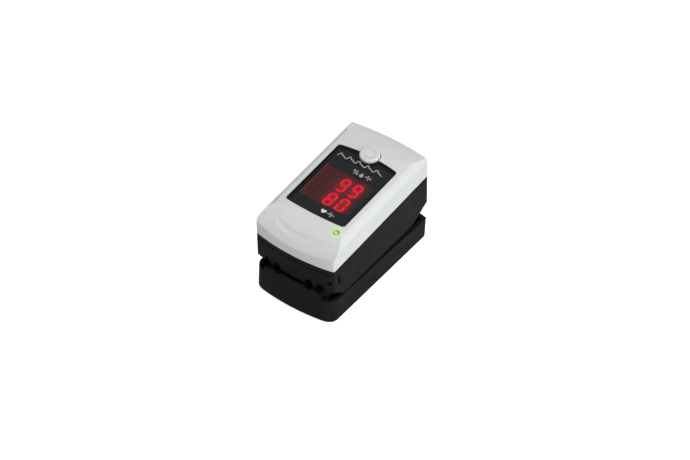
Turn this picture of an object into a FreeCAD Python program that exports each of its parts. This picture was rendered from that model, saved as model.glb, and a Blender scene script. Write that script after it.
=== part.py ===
import FreeCAD, Part
import math
import os
import re
import Sketcher

# Fingertip pulse oximeter, in millimetres. +Z is up and the device rests on the
# plane z = 0. -Y is the tail that is pinched, +Y is the mouth that the finger
# enters, and X runs across. The upper half is drawn level, with z = 0 on the
# seam between its cover and its housing, and is then placed tilted as it rests.

V = FreeCAD.Vector

SIZES = {
    # whole device
    "body_width": 32.0,
    "end_bow": 1.7,
    "upper_length": 54.6,
    "lower_tail_reach": 0.1,
    "lower_mouth_reach": 1.1,
    "seam_height": 27.15,
    "rest_angle": 4.6,
    "part_gap": 0.3,
    # silver cover
    "cover_wall": 1.4,
    "cover_height": 9.2,
    "cover_crown": 0.5,
    "shoulder": 3.0,
    "ramp_start": 15.9,
    "ramp_radius": 17.5,
    "brow_start": 14.8,
    "brow_radius": 46.0,
    "edge_round": 0.85,
    "thumb_ring": 17.8,
    "thumb_width": 2.8,
    "thumb_depth": 0.2,
    "thumb_centre": 8.0,
    # window, button and status light
    "window_width": 23.8,
    "window_tail": 15.9,
    "window_mouth": 14.7,
    "window_bow": 0.9,
    "window_corner": 1.2,
    "window_thickness": 0.8,
    "window_ledge": 1.1,
    "ledge_thickness": 0.9,
    "window_gap": 0.1,
    "button_radius": 3.55,
    "button_place": 15.8,
    "button_rise": 0.95,
    "button_gap": 0.3,
    "button_travel": 0.4,
    "button_skirt": 4.4,
    "light_radius": 1.1,
    "light_inset": 4.8,
    "light_along": 19.2,
    # black upper housing
    "shell_wall": 1.4,
    "deck_top": 1.2,
    "deck_thickness": 1.2,
    "tail_wall_drop": 10.15,
    "skirt_tail_drop": 14.5,
    "skirt_mouth_drop": 16.7,
    "skirt_tail_place": 22.2,
    "skirt_mouth_place": 18.5,
    "mouth_corner_drop": 12.9,
    "arch_shoulder": 3.4,
    "arch_spring": 9.5,
    "arch_top": 4.5,
    "groove_drop": 2.1,
    "groove_height": 0.45,
    "groove_depth": 0.35,
    "eye_radius": 0.9,
    "eye_inset": 1.7,
    "eye_drop": 6.2,
    "eye_slit": 3.4,
    "eye_place": 24.4,
    # hinge across the tail
    "hinge_place": 20.0,
    "hinge_lift": 2.2,
    "pin_radius": 1.0,
    "pin_fit": 0.04,
    "ear_radius": 2.3,
    "ear_thickness": 1.6,
    "ear_gap": 0.2,
    "ear_side_gap": 0.3,
    "wire_radius": 0.4,
    "coil_gap": 0.05,
    "coil_turns": 3.375,
    "leg_reach": 4.6,
    "coil_pitch": 0.95,
    "coil_inner": 4.6,
    # pockets in the two tail walls, with a ribbed side and a bead under it
    "pocket_inner": 5.0,
    "pocket_width": 3.0,
    "pocket_pitch": 4.2,
    "pocket_rise": 2.4,
    "pocket_drop": 0.6,
    "rib_width": 0.8,
    "rib_proud": 0.3,
    "rib_drop": 0.9,
    "bead_radius": 0.5,
    # finger pads
    "pad_side_gap": 0.4,
    "pad_tail": 13.5,
    "pad_mouth": 25.4,
    "pad_gap": 0.4,
    "upper_tunnel_top": 4.3,
    "lower_pad_height": 16.1,
    "lower_tunnel_bottom": 14.9,
    "tip_radius": 8.0,
    "mouth_radius": 11.0,
    "tip_place": 4.0,
    "cradle_radius": 12.0,
    "sensor_place": 1.0,
    "sensor_width": 6.0,
    "sensor_length": 5.0,
    # circuit boards and what they carry
    "board_bottom": 0.9,
    "board_thickness": 1.0,
    "board_side_gap": 1.3,
    "board_tail": 24.0,
    "board_mouth": 24.2,
    "display_width": 19.8,
    "display_tail": 10.2,
    "display_mouth": 6.0,
    "display_gap": 0.1,
    "digit_height": 6.0,
    "digit_width": 3.3,
    "digit_stroke": 0.72,
    "digit_pitch": 5.05,
    "digit_slant": 9.0,
    "digit_depth": 0.25,
    "digit_across": 2.55,
    "row_pitch": 7.9,
    "row_place": 0.75,
    "bar_pitch": 1.55,
    "bar_count": 9,
    "switch_side": 5.0,
    "switch_height": 2.4,
    "plunger_radius": 1.2,
    "plunger_height": 1.0,
    "plunger_seat": 0.6,
    "boss_side_gap": 1.0,
    "screw_along": 21.6,
    "tail_screw_inset": 0.5,
    "tail_screw_step": 3.7,
    "screw_radius": 0.85,
    "screw_head": 1.5,
    "head_height": 0.7,
    "boss_radius": 2.1,
    "boss_foot": 0.4,
    "boss_tail_top": 6.9,
    "boss_mouth_top": 7.9,
    "screw_reach": 4.0,
    # lower housing and frame
    "lower_wall": 1.5,
    "tail_corner": 4.6,
    "tail_round": 2.2,
    "bottom_round": 0.9,
    "tail_wall_height": 13.7,
    "tail_lip_height": 1.8,
    "tail_lip_thickness": 0.5,
    "side_top_tail": 10.2,
    "side_top_mouth": 8.7,
    "tray_wall": 1.1,
    "tray_tail": 23.6,
    "tray_mouth": 26.4,
    "frame_bottom": 12.2,
    "frame_thickness": 1.2,
    "frame_side_gap": 0.6,
    "frame_tail": 25.0,
    "frame_mouth": 27.4,
    "shelf_height": 7.4,
    "shelf_thickness": 1.0,
    # ribbon between the two halves, and the frame's screws
    "ribbon_width": 4.0,
    "ribbon_place": 15.7,
    "ribbon_thickness": 0.2,
    "frame_screw_across": 10.3,
    "frame_screw_along": 23.7,
    # battery door
    "door_floor": 1.3,
    "wing_tail_height": 4.7,
    "wing_mouth_height": 5.3,
    "wing_mouth_place": 14.6,
    "block_place": 17.5,
    "door_gap": 0.2,
    "rail_height": 2.8,
    "rail_thickness": 0.8,
    "grip_count": 5,
    "grip_pitch": 1.8,
    "grip_width": 13.0,
    "grip_depth": 0.4,
    # cells and contacts
    "cell_radius": 5.25,
    "cell_length": 43.6,
    "cell_nub_radius": 1.9,
    "cell_nub_length": 0.9,
    "cell_side_gap": 0.15,
    "cell_tail": 20.3,
    "contact_thickness": 0.35,
    "contact_width": 6.4,
}

doc = FreeCAD.newDocument("pulse_oximeter")
sheet = doc.addObject("Spreadsheet::Sheet", "Dims")
for row, (name, size) in enumerate(SIZES.items(), start=1):
    sheet.set(f"A{row}", name)
    sheet.set(f"B{row}", str(size))
    sheet.setAlias(f"B{row}", name)
doc.recompute()

# Sizes that follow from others, as formulas over the cells.
TERMS = {}


def full(formula):
    """Swap every named size in a formula for its cell or its own formula."""
    def swap(found):
        word = found.group()
        if word in TERMS:
            return TERMS[word]
        return "Dims." + word if word in SIZES else word
    return re.sub(r"[a-z][a-z_]+", swap, str(formula))


def term(name, formula):
    TERMS[name] = "(" + full(formula) + ")"


def value(formula):
    return float(sheet.evalExpression(full(formula)))


term("half_width", "body_width / 2")
term("bow_radius", "(half_width ^ 2 + end_bow ^ 2) / (2 * end_bow)")
term("pad_width", "body_width - 2 * shell_wall - 2 * pad_side_gap")
term("frame_width", "body_width - 2 * lower_wall - 2 * frame_side_gap")
term("lower_pad_width", "frame_width - 2 * pad_side_gap")
term("board_width", "body_width - 2 * cover_wall - 2 * board_side_gap")
term("arch_width", "body_width - 2 * shell_wall - 2 * arch_shoulder")
term("upper_ear_outer", "half_width - shell_wall - ear_side_gap")
term("lower_ear_inner", "upper_ear_outer - 2 * ear_thickness - ear_gap")
term("eye_across", "half_width - eye_inset")
term("light_across", "half_width - light_inset")
term("screw_across", "half_width - cover_wall - boss_radius - boss_side_gap")
term("tail_screw_across", "screw_across - tail_screw_inset")
term("tail_screw_along", "light_along + tail_screw_step")
term("upper_end", "upper_length / 2")
term("lower_tail", "upper_end + lower_tail_reach")
term("lower_mouth", "upper_end + lower_mouth_reach")
term("crown_top", "cover_height + cover_crown")
term("window_seat", "cover_height - window_thickness")
term("deck_bottom", "deck_top + deck_thickness")
term("board_top", "board_bottom + board_thickness")
term("display_top", "window_seat - display_gap")
term("frame_top", "frame_bottom + frame_thickness")
term("hinge_height", "frame_top + hinge_lift")
term("coil_radius", "hinge_lift - wire_radius - coil_gap")
term("tray_inner", "2 * cell_radius + 1.5 * cell_side_gap")
term("tray_outer", "tray_inner + tray_wall")
term("cell_across", "cell_radius + cell_side_gap")
term("cell_height", "door_floor + 2 * cell_side_gap + cell_radius")
term("cell_mouth", "cell_length + cell_nub_length - cell_tail")
term("upper_pad_drop",
     "(seam_height - pad_tail * sin(rest_angle) - lower_pad_height - pad_gap) / cos(rest_angle)")
# the hinge line, seen from the level upper half
term("hinge_rise", "hinge_height - seam_height")
term("upper_hinge_y", "hinge_rise * sin(rest_angle) - hinge_place * cos(rest_angle)")
term("upper_hinge_z", "hinge_rise * cos(rest_angle) + hinge_place * sin(rest_angle)")

# where the four screws join the two halves of the upper shell
SCREWS = [
    ("-tail_screw_across", "-tail_screw_along"),
    ("tail_screw_across", "-tail_screw_along"),
    ("-screw_across", "screw_along"),
    ("screw_across", "screw_along"),
]

TURNS = {
    "XY": FreeCAD.Rotation(),
    "XZ": FreeCAD.Rotation(V(1, 0, 0), 90),
    "YZ": FreeCAD.Rotation(V(1, 1, 1), 120),
}


# ---------------------------------------------------------------- outlines

def box(x_low, x_high, y_low, y_high):
    return [(x_low, y_low), (x_high, y_low), (x_high, y_high), (x_low, y_high)]


def disc(x, y, radius):
    return ("disc", x, y, radius)


def bowed(half, tail, mouth, tail_radius="bow_radius", mouth_radius="bow_radius"):
    """A strip of the given half width whose two ends bow outwards."""
    return [
        (f"-({half})", f"-({tail})", tail_radius, 1),
        (half, f"-({tail})"),
        (half, mouth, mouth_radius, 1),
        (f"-({half})", mouth),
    ]


def inset_plan(inset, tail, mouth):
    """The bowed outline moved inwards all round by one distance."""
    radius = f"(bow_radius - ({inset}))"
    half = f"(half_width - ({inset}))"
    rise = f"(sqrt({radius} ^ 2 - {half} ^ 2) - sqrt(bow_radius ^ 2 - half_width ^ 2))"
    return bowed(half, f"{tail} + {rise}", f"{mouth} + {rise}", radius, radius)


def upper_plan(inset="0"):
    return inset_plan(inset, "upper_end", "upper_end")


def lower_plan(inset="0"):
    return inset_plan(inset, "lower_tail", "lower_mouth")


def draw(sketch, outline):
    """Draw one closed outline and fix it with constraints bound to the sheet."""
    def fix(kind, *where, formula):
        index = sketch.addConstraint(Sketcher.Constraint(kind, *where, value(formula)))
        sketch.setExpression(f"Constraints[{index}]", full(formula))

    if outline[0] == "disc":
        _, x, y, radius = outline
        centre = V(value(x), value(y), 0)
        ring = sketch.addGeometry(Part.Circle(centre, V(0, 0, 1), value(radius)), False)
        fix("DistanceX", -1, 1, ring, 3, formula=x)
        fix("DistanceY", -1, 1, ring, 3, formula=y)
        fix("Radius", ring, formula=radius)
        return
    corners = [V(value(step[0]), value(step[1]), 0) for step in outline]
    ends = []
    for index, step in enumerate(outline):
        start = corners[index]
        stop = corners[(index + 1) % len(corners)]
        if len(step) == 2:
            line = sketch.addGeometry(Part.LineSegment(start, stop), False)
            ends.append((line, 1, 2))
            continue
        radius = value(step[2])
        chord = stop - start
        reach = chord.Length / 2
        sagitta = radius - math.sqrt(max(radius ** 2 - reach ** 2, 0.0))
        side = V(chord.y, -chord.x, 0).normalize()
        middle = (start + stop) * 0.5 + side * (sagitta * step[3])
        if step[3] > 0:
            arc = sketch.addGeometry(Part.Arc(start, middle, stop), False)
            ends.append((arc, 1, 2))
        else:
            arc = sketch.addGeometry(Part.Arc(stop, middle, start), False)
            ends.append((arc, 2, 1))
        fix("Radius", arc, formula=step[2])
    for index, (line, _, last) in enumerate(ends):
        following, first, _ = ends[(index + 1) % len(ends)]
        sketch.addConstraint(Sketcher.Constraint("Coincident", line, last, following, first))
    for (line, first, _), step in zip(ends, outline):
        fix("DistanceX", -1, 1, line, first, formula=step[0])
        fix("DistanceY", -1, 1, line, first, formula=step[1])


def bind(thing, **formulas):
    for name, formula in formulas.items():
        thing.setExpression(name, full(formula))


# ---------------------------------------------------------------- building

PIECES = []


def finish(thing, label, upper=False):
    """Name a finished piece and, on the upper half, tilt it as it rests."""
    thing.Label = label
    if upper:
        tilt = FreeCAD.Rotation(V(1, 0, 0), value("rest_angle"))
        thing.Placement = FreeCAD.Placement(V(0, 0, value("seam_height")), tilt)
        thing.setExpression("Placement.Base.z", full("seam_height"))
        thing.setExpression("Placement.Rotation.Angle", full("rest_angle"))
    PIECES.append(thing)
    return thing


class Piece:
    """A PartDesign body that grows by one sketched feature at a time."""

    def __init__(self, label, upper=False, base=None):
        self.label = label
        self.body = doc.addObject("PartDesign::Body", label)
        if base is not None:
            self.body.BaseFeature = base
            doc.recompute()
        self.count = 0
        finish(self.body, label, upper)

    def sketch(self, plane, outlines, lift="0"):
        self.count += 1
        sketch = self.body.newObject("Sketcher::SketchObject", f"{self.label}_sketch{self.count}")
        role = plane + "_Plane"
        support = [item for item in self.body.Origin.OriginFeatures if item.Role == role][0]
        sketch.AttachmentSupport = [(support, "")]
        sketch.MapMode = "FlatFace"
        bind(sketch, **{"AttachmentOffset.Base.z": lift})
        for outline in outlines:
            draw(sketch, outline)
        return sketch

    def _feature(self, kind, plane, outlines, length, lift, side, reverse):
        sketch = self.sketch(plane, outlines, lift)
        feature = self.body.newObject(kind, f"{self.label}_step{self.count}")
        feature.Profile = sketch
        feature.SideType = side
        feature.Reversed = reverse
        bind(feature, Length=length)
        doc.recompute()
        if "Invalid" in feature.State or "Error" in feature.State:
            raise ValueError(f"{feature.Name} failed: {feature.State}")
        return feature

    def add(self, plane, outlines, length, lift="0", side="One side", reverse=False):
        return self._feature("PartDesign::Pad", plane, outlines, length, lift, side, reverse)

    def cut(self, plane, outlines, length, lift="0", side="One side", reverse=False):
        before = self.body.Shape.Volume
        feature = self._feature("PartDesign::Pocket", plane, outlines, length, lift, side, reverse)
        if self.body.Shape.Volume > before - 1e-6:
            raise ValueError(f"{feature.Name} cuts nothing")
        return feature

    def turn(self, outline, plane="XZ", lift="0", groove=False):
        """Revolve an outline about the vertical axis of its sketch."""
        sketch = self.sketch(plane, [outline], lift)
        kind = "PartDesign::Groove" if groove else "PartDesign::Revolution"
        feature = self.body.newObject(kind, f"{self.label}_step{self.count}")
        feature.Profile = sketch
        feature.ReferenceAxis = (sketch, ["V_Axis"])
        feature.Angle = 360
        doc.recompute()
        return feature

    def round(self, radius, chosen, chamfer=False):
        """Round every edge that the test picks."""
        base = self.body.Tip
        names = [f"Edge{i}" for i, edge in enumerate(base.Shape.Edges, start=1) if chosen(edge)]
        if not names:
            raise ValueError(f"no edge to round on {self.label}")
        kind = "PartDesign::Chamfer" if chamfer else "PartDesign::Fillet"
        self.count += 1
        feature = self.body.newObject(kind, f"{self.label}_step{self.count}")
        feature.Base = (base, names)
        bind(feature, **{"Size" if chamfer else "Radius": radius})
        doc.recompute()
        return feature


def middle(edge):
    return edge.valueAt((edge.FirstParameter + edge.LastParameter) / 2)


def upright(edge):
    first, last = edge.firstVertex().Point, edge.lastVertex().Point
    return math.hypot(first.x - last.x, first.y - last.y) < 0.01 < abs(first.z - last.z)


def prism(label, plane, outline, low, high):
    """A loose extrusion along a plane's own normal, from low to high."""
    sketch = doc.addObject("Sketcher::SketchObject", label + "_sketch")
    sketch.Placement = FreeCAD.Placement(V(), TURNS[plane])
    axis = {"XY": "z", "XZ": "y", "YZ": "x"}[plane]
    sign = "-" if plane == "XZ" else ""
    bind(sketch, **{f"Placement.Base.{axis}": f"{sign}({low})"})
    draw(sketch, outline)
    solid = doc.addObject("Part::Extrusion", label)
    solid.Base = sketch
    solid.DirMode = "Normal"
    solid.Solid = True
    bind(solid, LengthFwd=f"({high}) - ({low})")
    return solid


def join(kind, label, *things):
    result = doc.addObject("Part::" + kind, label)
    if kind == "Cut":
        result.Base, result.Tool = things
    else:
        result.Shapes = list(things)
    doc.recompute()
    return result


def crowned_block(label, inset):
    """The cover's outer form moved inwards: plan, side view and end view meet."""
    top = f"(crown_top - ({inset}))"
    ramp = f"(ramp_radius - ({inset}))"
    brow = f"(brow_radius - ({inset}))"
    side = f"(shoulder - ({inset}))"
    half = f"(half_width - ({inset}))"
    flat = f"(half_width - shoulder)"
    crown = f"(({flat} ^ 2 + cover_crown ^ 2) / (2 * cover_crown))"
    reach = "(upper_end + end_bow + 0.6)"
    ramp_low = f"({top} - {ramp} + sqrt({ramp} ^ 2 - ({reach} - ramp_start) ^ 2))"
    brow_low = f"({top} - {brow} + sqrt({brow} ^ 2 - ({reach} - brow_start) ^ 2))"
    plan = prism(label + "_plan", "XY", upper_plan(inset), f"-1 * ({inset})", "crown_top + 1")
    side_view = prism(label + "_side", "YZ", [
        (f"-{reach}", "-2"),
        (reach, "-2"),
        (reach, brow_low, brow, 1),
        ("brow_start", top),
        ("-ramp_start", top, ramp, 1),
        (f"-{reach}", ramp_low),
    ], "-half_width", "half_width")
    end_view = prism(label + "_end", "XZ", [
        (f"-{half}", "-2"),
        (half, "-2"),
        (half, "cover_height - shoulder", side, 1),
        (flat, f"cover_height - ({inset})", crown, 1),
        (f"-{flat}", f"cover_height - ({inset})", side, 1),
        (f"-{half}", "cover_height - shoulder"),
    ], f"-{reach}", reach)
    return join("MultiCommon", label, plan, side_view, end_view)


def window_plan(inset):
    """The window's outline moved inwards by one distance, corners square."""
    half = f"(window_width / 2 - ({inset}))"
    radius = "((window_width ^ 2 / 4 + window_bow ^ 2) / (2 * window_bow))"
    tail = f"window_tail - ({inset})"
    mouth = f"window_mouth - ({inset})"
    return bowed(half, tail, mouth, radius, radius)


# ---------------------------------------------------------------- upper half

def top_cover():
    """The silver shell: a crowned block hollowed by its own inner form."""
    form = Piece("cover_form", base=crowned_block("cover_block", "0"))
    PIECES.remove(form.body)
    end = value("upper_end")
    wall_top = value("cover_height - shoulder")
    bow = value("end_bow")

    def outer_edge(edge):
        point = middle(edge)
        level = abs(edge.firstVertex().Point.y - edge.lastVertex().Point.y) < bow
        nose = point.y < -end and point.z > wall_top / 2
        brow = point.y > end - 2 and point.z > wall_top and level
        return upright(edge) or nose or brow

    form.round("edge_round", outer_edge)
    shell = join("Cut", "cover_shell", form.body, crowned_block("cover_core", "cover_wall"))
    ring = doc.addObject("Part::Torus", "thumb_ring_tool")
    bind(ring, Radius1="thumb_ring",
         Radius2="((thumb_width / 2) ^ 2 + thumb_depth ^ 2) / (2 * thumb_depth)")
    ring.Placement = thumb_placement(ring)
    shell = join("Cut", "cover_dished", shell, ring)
    cover = Piece("top_cover", upper=True, base=shell)
    for x, y in SCREWS:
        top = "boss_tail_top" if y.startswith("-") else "boss_mouth_top"
        cover.add("XY", [disc(x, y, "boss_radius")], f"{top} - boss_foot", lift="boss_foot")
        cover.cut("XY", [disc(x, y, "screw_radius")], "screw_reach", lift="boss_foot", reverse=True)
    cover.cut("XY", [window_plan("-window_gap")], "3", lift="window_seat + 3")
    cover.add("XY", [window_plan("-cover_wall")], "ledge_thickness",
              lift="window_seat - ledge_thickness")
    cover.cut("XY", [window_plan("window_ledge")], "2 * ledge_thickness", lift="window_seat + 0.1")
    cover.cut("XY", [disc("0", "button_place", "button_radius + button_gap")], "8", lift="crown_top + 1")
    cover.cut("XY", [disc("light_across", "-light_along", "light_radius + pin_fit")], "8",
              lift="crown_top + 1")
    corner = value("window_corner")
    seat = value("window_seat")
    wide = value("window_width") / 2

    def window_corner(edge):
        point = middle(edge)
        return upright(edge) and abs(abs(point.x) - wide) < 0.3 and point.z > seat

    cover.round("window_corner", window_corner)
    return cover


def thumb_placement(ring):
    """Lay the ring on the ramp, square to it at the middle of the thumb rest."""
    reach = value("thumb_centre + thumb_ring")
    ramp = value("ramp_radius")
    run = reach - value("ramp_start")
    lean = math.degrees(math.asin(run / ramp))
    touch = V(0, -reach, value("crown_top") - ramp + math.sqrt(ramp ** 2 - run ** 2))
    turn = FreeCAD.Rotation(V(1, 0, 0), lean)
    lift = value("((thumb_width / 2) ^ 2 + thumb_depth ^ 2) / (2 * thumb_depth) - thumb_depth")
    centre = touch + turn.multVec(V(0, value("thumb_ring"), lift))
    return FreeCAD.Placement(centre, turn)


def display_window():
    """The dark lens: it shares the cover's crown, and is notched for the button."""
    pane = prism("pane", "XY", window_plan("0"), "window_seat", "crown_top + 1")
    form = join("MultiCommon", "pane_crowned", pane, crowned_block("pane_block", "0"))
    window = Piece("display_window", upper=True, base=form)
    window.cut("XY", [disc("0", "button_place", "button_radius + button_gap")], "8",
               lift="crown_top + 1")
    wide = value("window_width") / 2
    window.round("window_corner", lambda edge: upright(edge) and abs(abs(middle(edge).x) - wide) < 0.3)


def status_light_pipe():
    """A clear green pin with a domed head, standing on its light source."""
    pipe = Piece("status_light_pipe", upper=True)
    pipe.add("XY", [disc("light_across", "-light_along", "light_radius")],
             "crown_top - board_top - 1.6", lift="board_top + 0.8")
    pipe.round("light_radius / 3", lambda edge: middle(edge).z > value("crown_top") - 1)


def upper_housing():
    """The black half shell: a deck with skirts, a mouth arch and hinge ears."""
    shell = Piece("upper_housing", upper=True)
    deep = "(skirt_mouth_drop + 0.6)"
    shell.add("XY", [upper_plan()], deep, lift=f"-{deep}")
    shell.round("edge_round", upright)
    shell.cut("YZ", [[
        ("-40", "-30"),
        ("40", "-30"),
        ("40", "-mouth_corner_drop"),
        ("upper_end - edge_round", "-mouth_corner_drop"),
        ("skirt_mouth_place", "-skirt_mouth_drop"),
        ("-skirt_tail_place", "-skirt_tail_drop"),
        ("-(upper_end - edge_round)", "-(tail_wall_drop + 0.2)"),
        ("-40", "-tail_wall_drop"),
    ]], "body_width + 2", side="Symmetric")
    shell.cut("XY", [upper_plan("shell_wall")], "deck_top")
    shell.cut("XY", [upper_plan("shell_wall")], "20", lift="-deck_bottom - 20", reverse=True)
    shell.cut("XZ", [[
        ("-arch_width / 2", "-30"),
        ("arch_width / 2", "-30"),
        ("arch_width / 2", "-arch_spring",
         "(arch_width ^ 2 / 4 + (arch_spring - arch_top) ^ 2) / (2 * (arch_spring - arch_top))", 1),
        ("-arch_width / 2", "-arch_spring"),
    ]], "10", lift="-(upper_end - 3)", reverse=False)
    for hand in (-1, 1):
        inner = "upper_ear_outer - ear_thickness"
        lift = inner if hand > 0 else "-(half_width - shell_wall + 0.2)"
        shell.add("YZ", [[
            ("upper_hinge_y - ear_radius", "upper_hinge_z", "ear_radius", 1),
            ("upper_hinge_y", "upper_hinge_z - ear_radius", "ear_radius", 1),
            ("upper_hinge_y + ear_radius", "upper_hinge_z"),
            ("upper_hinge_y + ear_radius", "-deck_bottom + 0.2"),
            ("upper_hinge_y - ear_radius", "-deck_bottom + 0.2"),
        ]], "half_width - shell_wall + 0.2 - (upper_ear_outer - ear_thickness)", lift=lift)
    shell.cut("YZ", [disc("upper_hinge_y", "upper_hinge_z", "pin_radius + pin_fit")],
              "2 * (half_width - shell_wall)", side="Symmetric")
    return shell


def pockets(low, spring, bulge):
    """Four round-ended notches across a tail wall, two on each side of its middle."""
    outlines = []
    for step in ("0", "pocket_pitch"):
        for near, far in ((f"pocket_inner + {step}", f"pocket_inner + {step} + pocket_width"),
                          (f"-(pocket_inner + {step} + pocket_width)", f"-(pocket_inner + {step})")):
            ends = [(far, spring, "0.6 * pocket_width", bulge), (near, spring)]
            outlines.append([(near, low), (far, low)] + ends)
    return outlines


def groove_and_eye(shell):
    """The line moulded round the tail wall, and the eye for a wrist cord."""
    radius = "(bow_radius - groove_depth)"
    rise = f"(sqrt({radius} ^ 2 - half_width ^ 2) - sqrt(bow_radius ^ 2 - half_width ^ 2))"
    shell.cut("XY", [[
        ("-half_width - 1", f"-(upper_end + {rise}) + 0.13"),
        ("-half_width - 1", "-upper_end - 5"),
        ("half_width + 1", "-upper_end - 5"),
        ("half_width + 1", f"-(upper_end + {rise}) + 0.13", radius, -1),
    ]], "groove_height", lift="-groove_drop")
    shell.cut("XZ", pockets("-(tail_wall_drop + 3)", "-(tail_wall_drop - pocket_rise / 2)", 1), "10",
              lift="upper_end - 3", reverse=True)
    shell.cut("XZ", [disc("eye_across", "-eye_drop", "eye_radius")],
              "upper_end + end_bow - eye_place + eye_radius", lift="eye_place - eye_radius",
              reverse=True)
    shell.cut("YZ", [box("-eye_place - eye_radius / 1.5", "-eye_place + eye_radius / 1.5",
                         "-eye_drop - eye_slit / 2", "-eye_drop + eye_slit / 2")],
              "4", lift="half_width + 0.5")


def deck_details(shell):
    """Screw bosses, board posts and the light's opening in the housing's deck."""
    for x, y in SCREWS:
        shell.add("XY", [disc(x, y, "boss_radius + 0.2")], "deck_top + 0.2", lift="-deck_top")
        shell.cut("XY", [disc(x, y, "screw_radius + 0.15")], "10", lift="5")
        shell.cut("XY", [disc(x, y, "screw_head + 0.2")], "head_height + 0.1",
                  lift="-deck_bottom", reverse=True)
    for y in ("-board_tail + 4.2", "board_mouth - 2"):
        shell.add("XY", [disc("0", y, "boss_radius")], "deck_top + board_bottom", lift="-deck_top")
        shell.cut("XY", [disc("0", y, "screw_radius - 0.1")], "board_bottom + deck_top",
                  lift="board_bottom")
    shell.cut("XY", [box("-sensor_width / 2", "sensor_width / 2",
                         "sensor_place - sensor_length / 2", "sensor_place + sensor_length / 2"),
                     box("-ribbon_width / 2 - 0.3", "ribbon_width / 2 + 0.3",
                         "-ribbon_place - 0.8", "-ribbon_place + 0.8")],
              "6", lift="2")


def tunnel(pad, tip_height, mouth_height, tip_radius, mouth_radius, mouth):
    """Cut the finger's hollow: a tapered bore that narrows towards the fingertip."""
    run = f"({mouth} + tip_place + 1)"
    start = V(0, -value("tip_place"), value(tip_height))
    slope = math.degrees(math.atan2(value(mouth_height) - value(tip_height), value(run)))
    bore = pad.body.newObject("PartDesign::SubtractiveCone", f"{pad.label}_bore")
    bind(bore, Radius1=tip_radius, Radius2=mouth_radius, Height=run)
    bore.Placement = FreeCAD.Placement(start, FreeCAD.Rotation(V(1, 0, 0), slope - 90))
    doc.recompute()
    tip = pad.body.newObject("PartDesign::SubtractiveCone", f"{pad.label}_tip")
    bind(tip, Radius1=tip_radius, Radius2=f"{tip_radius} * 0.7", Height=f"{tip_radius} * 0.8")
    tip.Placement = FreeCAD.Placement(start, FreeCAD.Rotation(V(1, 0, 0), slope + 90))
    doc.recompute()


def upper_finger_pad():
    """The rubber roof of the finger tunnel, clipped up against the deck."""
    pad = Piece("upper_finger_pad", upper=True)
    pad.add("XZ", [box("-pad_width / 2", "pad_width / 2", "-upper_pad_drop", "-deck_bottom")],
            "pad_tail + pad_mouth", lift="pad_tail", reverse=True)
    pad.round("edge_round", lambda edge: abs(middle(edge).z + value("upper_pad_drop")) < 0.01)
    tunnel(pad, "-upper_tunnel_top - tip_radius", "-upper_tunnel_top + 0.4 - mouth_radius",
           "tip_radius", "mouth_radius", "pad_mouth")
    pad.cut("XY", [box("-sensor_width / 2", "sensor_width / 2",
                       "sensor_place - sensor_length / 2", "sensor_place + sensor_length / 2")],
            "upper_pad_drop", lift="0")
    for x in ("-screw_across", "screw_across"):
        pad.cut("XY", [disc(x, "screw_along", "screw_head + 0.3")], "head_height + 0.3",
                lift="-deck_bottom")
    return pad


def main_board():
    board = Piece("main_board", upper=True)
    board.add("XY", [box("-board_width / 2", "board_width / 2", "-board_tail", "board_mouth")],
              "board_thickness", lift="board_bottom")
    inner, clear = "screw_across - boss_radius - 0.4", "screw_along - boss_radius - 0.4"
    tail = "tail_screw_along - boss_radius - 0.4"
    notches = [box(inner, "board_width", clear, "2 * board_mouth"),
               box("-board_width", f"-({inner})", clear, "2 * board_mouth"),
               box(f"{inner} - 0.5", "board_width", "-2 * board_tail", f"-({tail})"),
               box("-board_width", f"0.5 - ({inner})", "-2 * board_tail", f"-({tail})")]
    holes = [disc("0", y, "screw_radius + 0.2") for y in ("-board_tail + 4.2", "board_mouth - 2")]
    slot = box("-ribbon_width / 2 - 0.3", "ribbon_width / 2 + 0.3", "-ribbon_place - 0.8",
               "-ribbon_place + 0.8")
    board.cut("XY", notches + holes + [slot], "5", lift="board_top + 1")
    return board


def board_screws():
    screws = Piece("board_screws", upper=True)
    for y in ("-board_tail + 4.2", "board_mouth - 2"):
        screws.add("XY", [disc("0", y, "screw_radius + 0.6")], "head_height", lift="board_top")
        screws.add("XY", [disc("0", y, "screw_radius - 0.1")], "board_thickness + board_bottom + 0.8",
                   lift="board_top", reverse=True)
    return screws


def cover_screws():
    """Four screws that come up through the deck into the cover's bosses."""
    screws = Piece("cover_screws", upper=True)
    for x, y in SCREWS:
        screws.add("XY", [disc(x, y, "screw_head")], "head_height", lift="-deck_bottom + 0.1")
        screws.add("XY", [disc(x, y, "screw_radius")], "deck_bottom + 2.2",
                   lift="-deck_bottom + 0.1 + head_height / 2")
        screws.cut("XY", [box(f"{x} - screw_head * 0.6", f"{x} + screw_head * 0.6",
                              f"{y} - 0.2", f"{y} + 0.2")],
                   "0.35", lift="-deck_bottom + 0.1", reverse=True)
    return screws


def display_module():
    """The light-emitting display: a potted block that stands on the board."""
    block = Piece("display_module", upper=True)
    block.add("XY", [box("-display_width / 2", "display_width / 2", "-display_tail", "display_mouth")],
              "display_top - board_top - digit_depth", lift="board_top")
    return block


SEGMENTS = {
    "a": (0, 1, 0), "b": (1, 0.5, 90), "c": (1, -0.5, 90), "d": (0, -1, 0),
    "e": (-1, -0.5, 90), "f": (-1, 0.5, 90), "g": (0, 0, 0),
}


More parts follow.
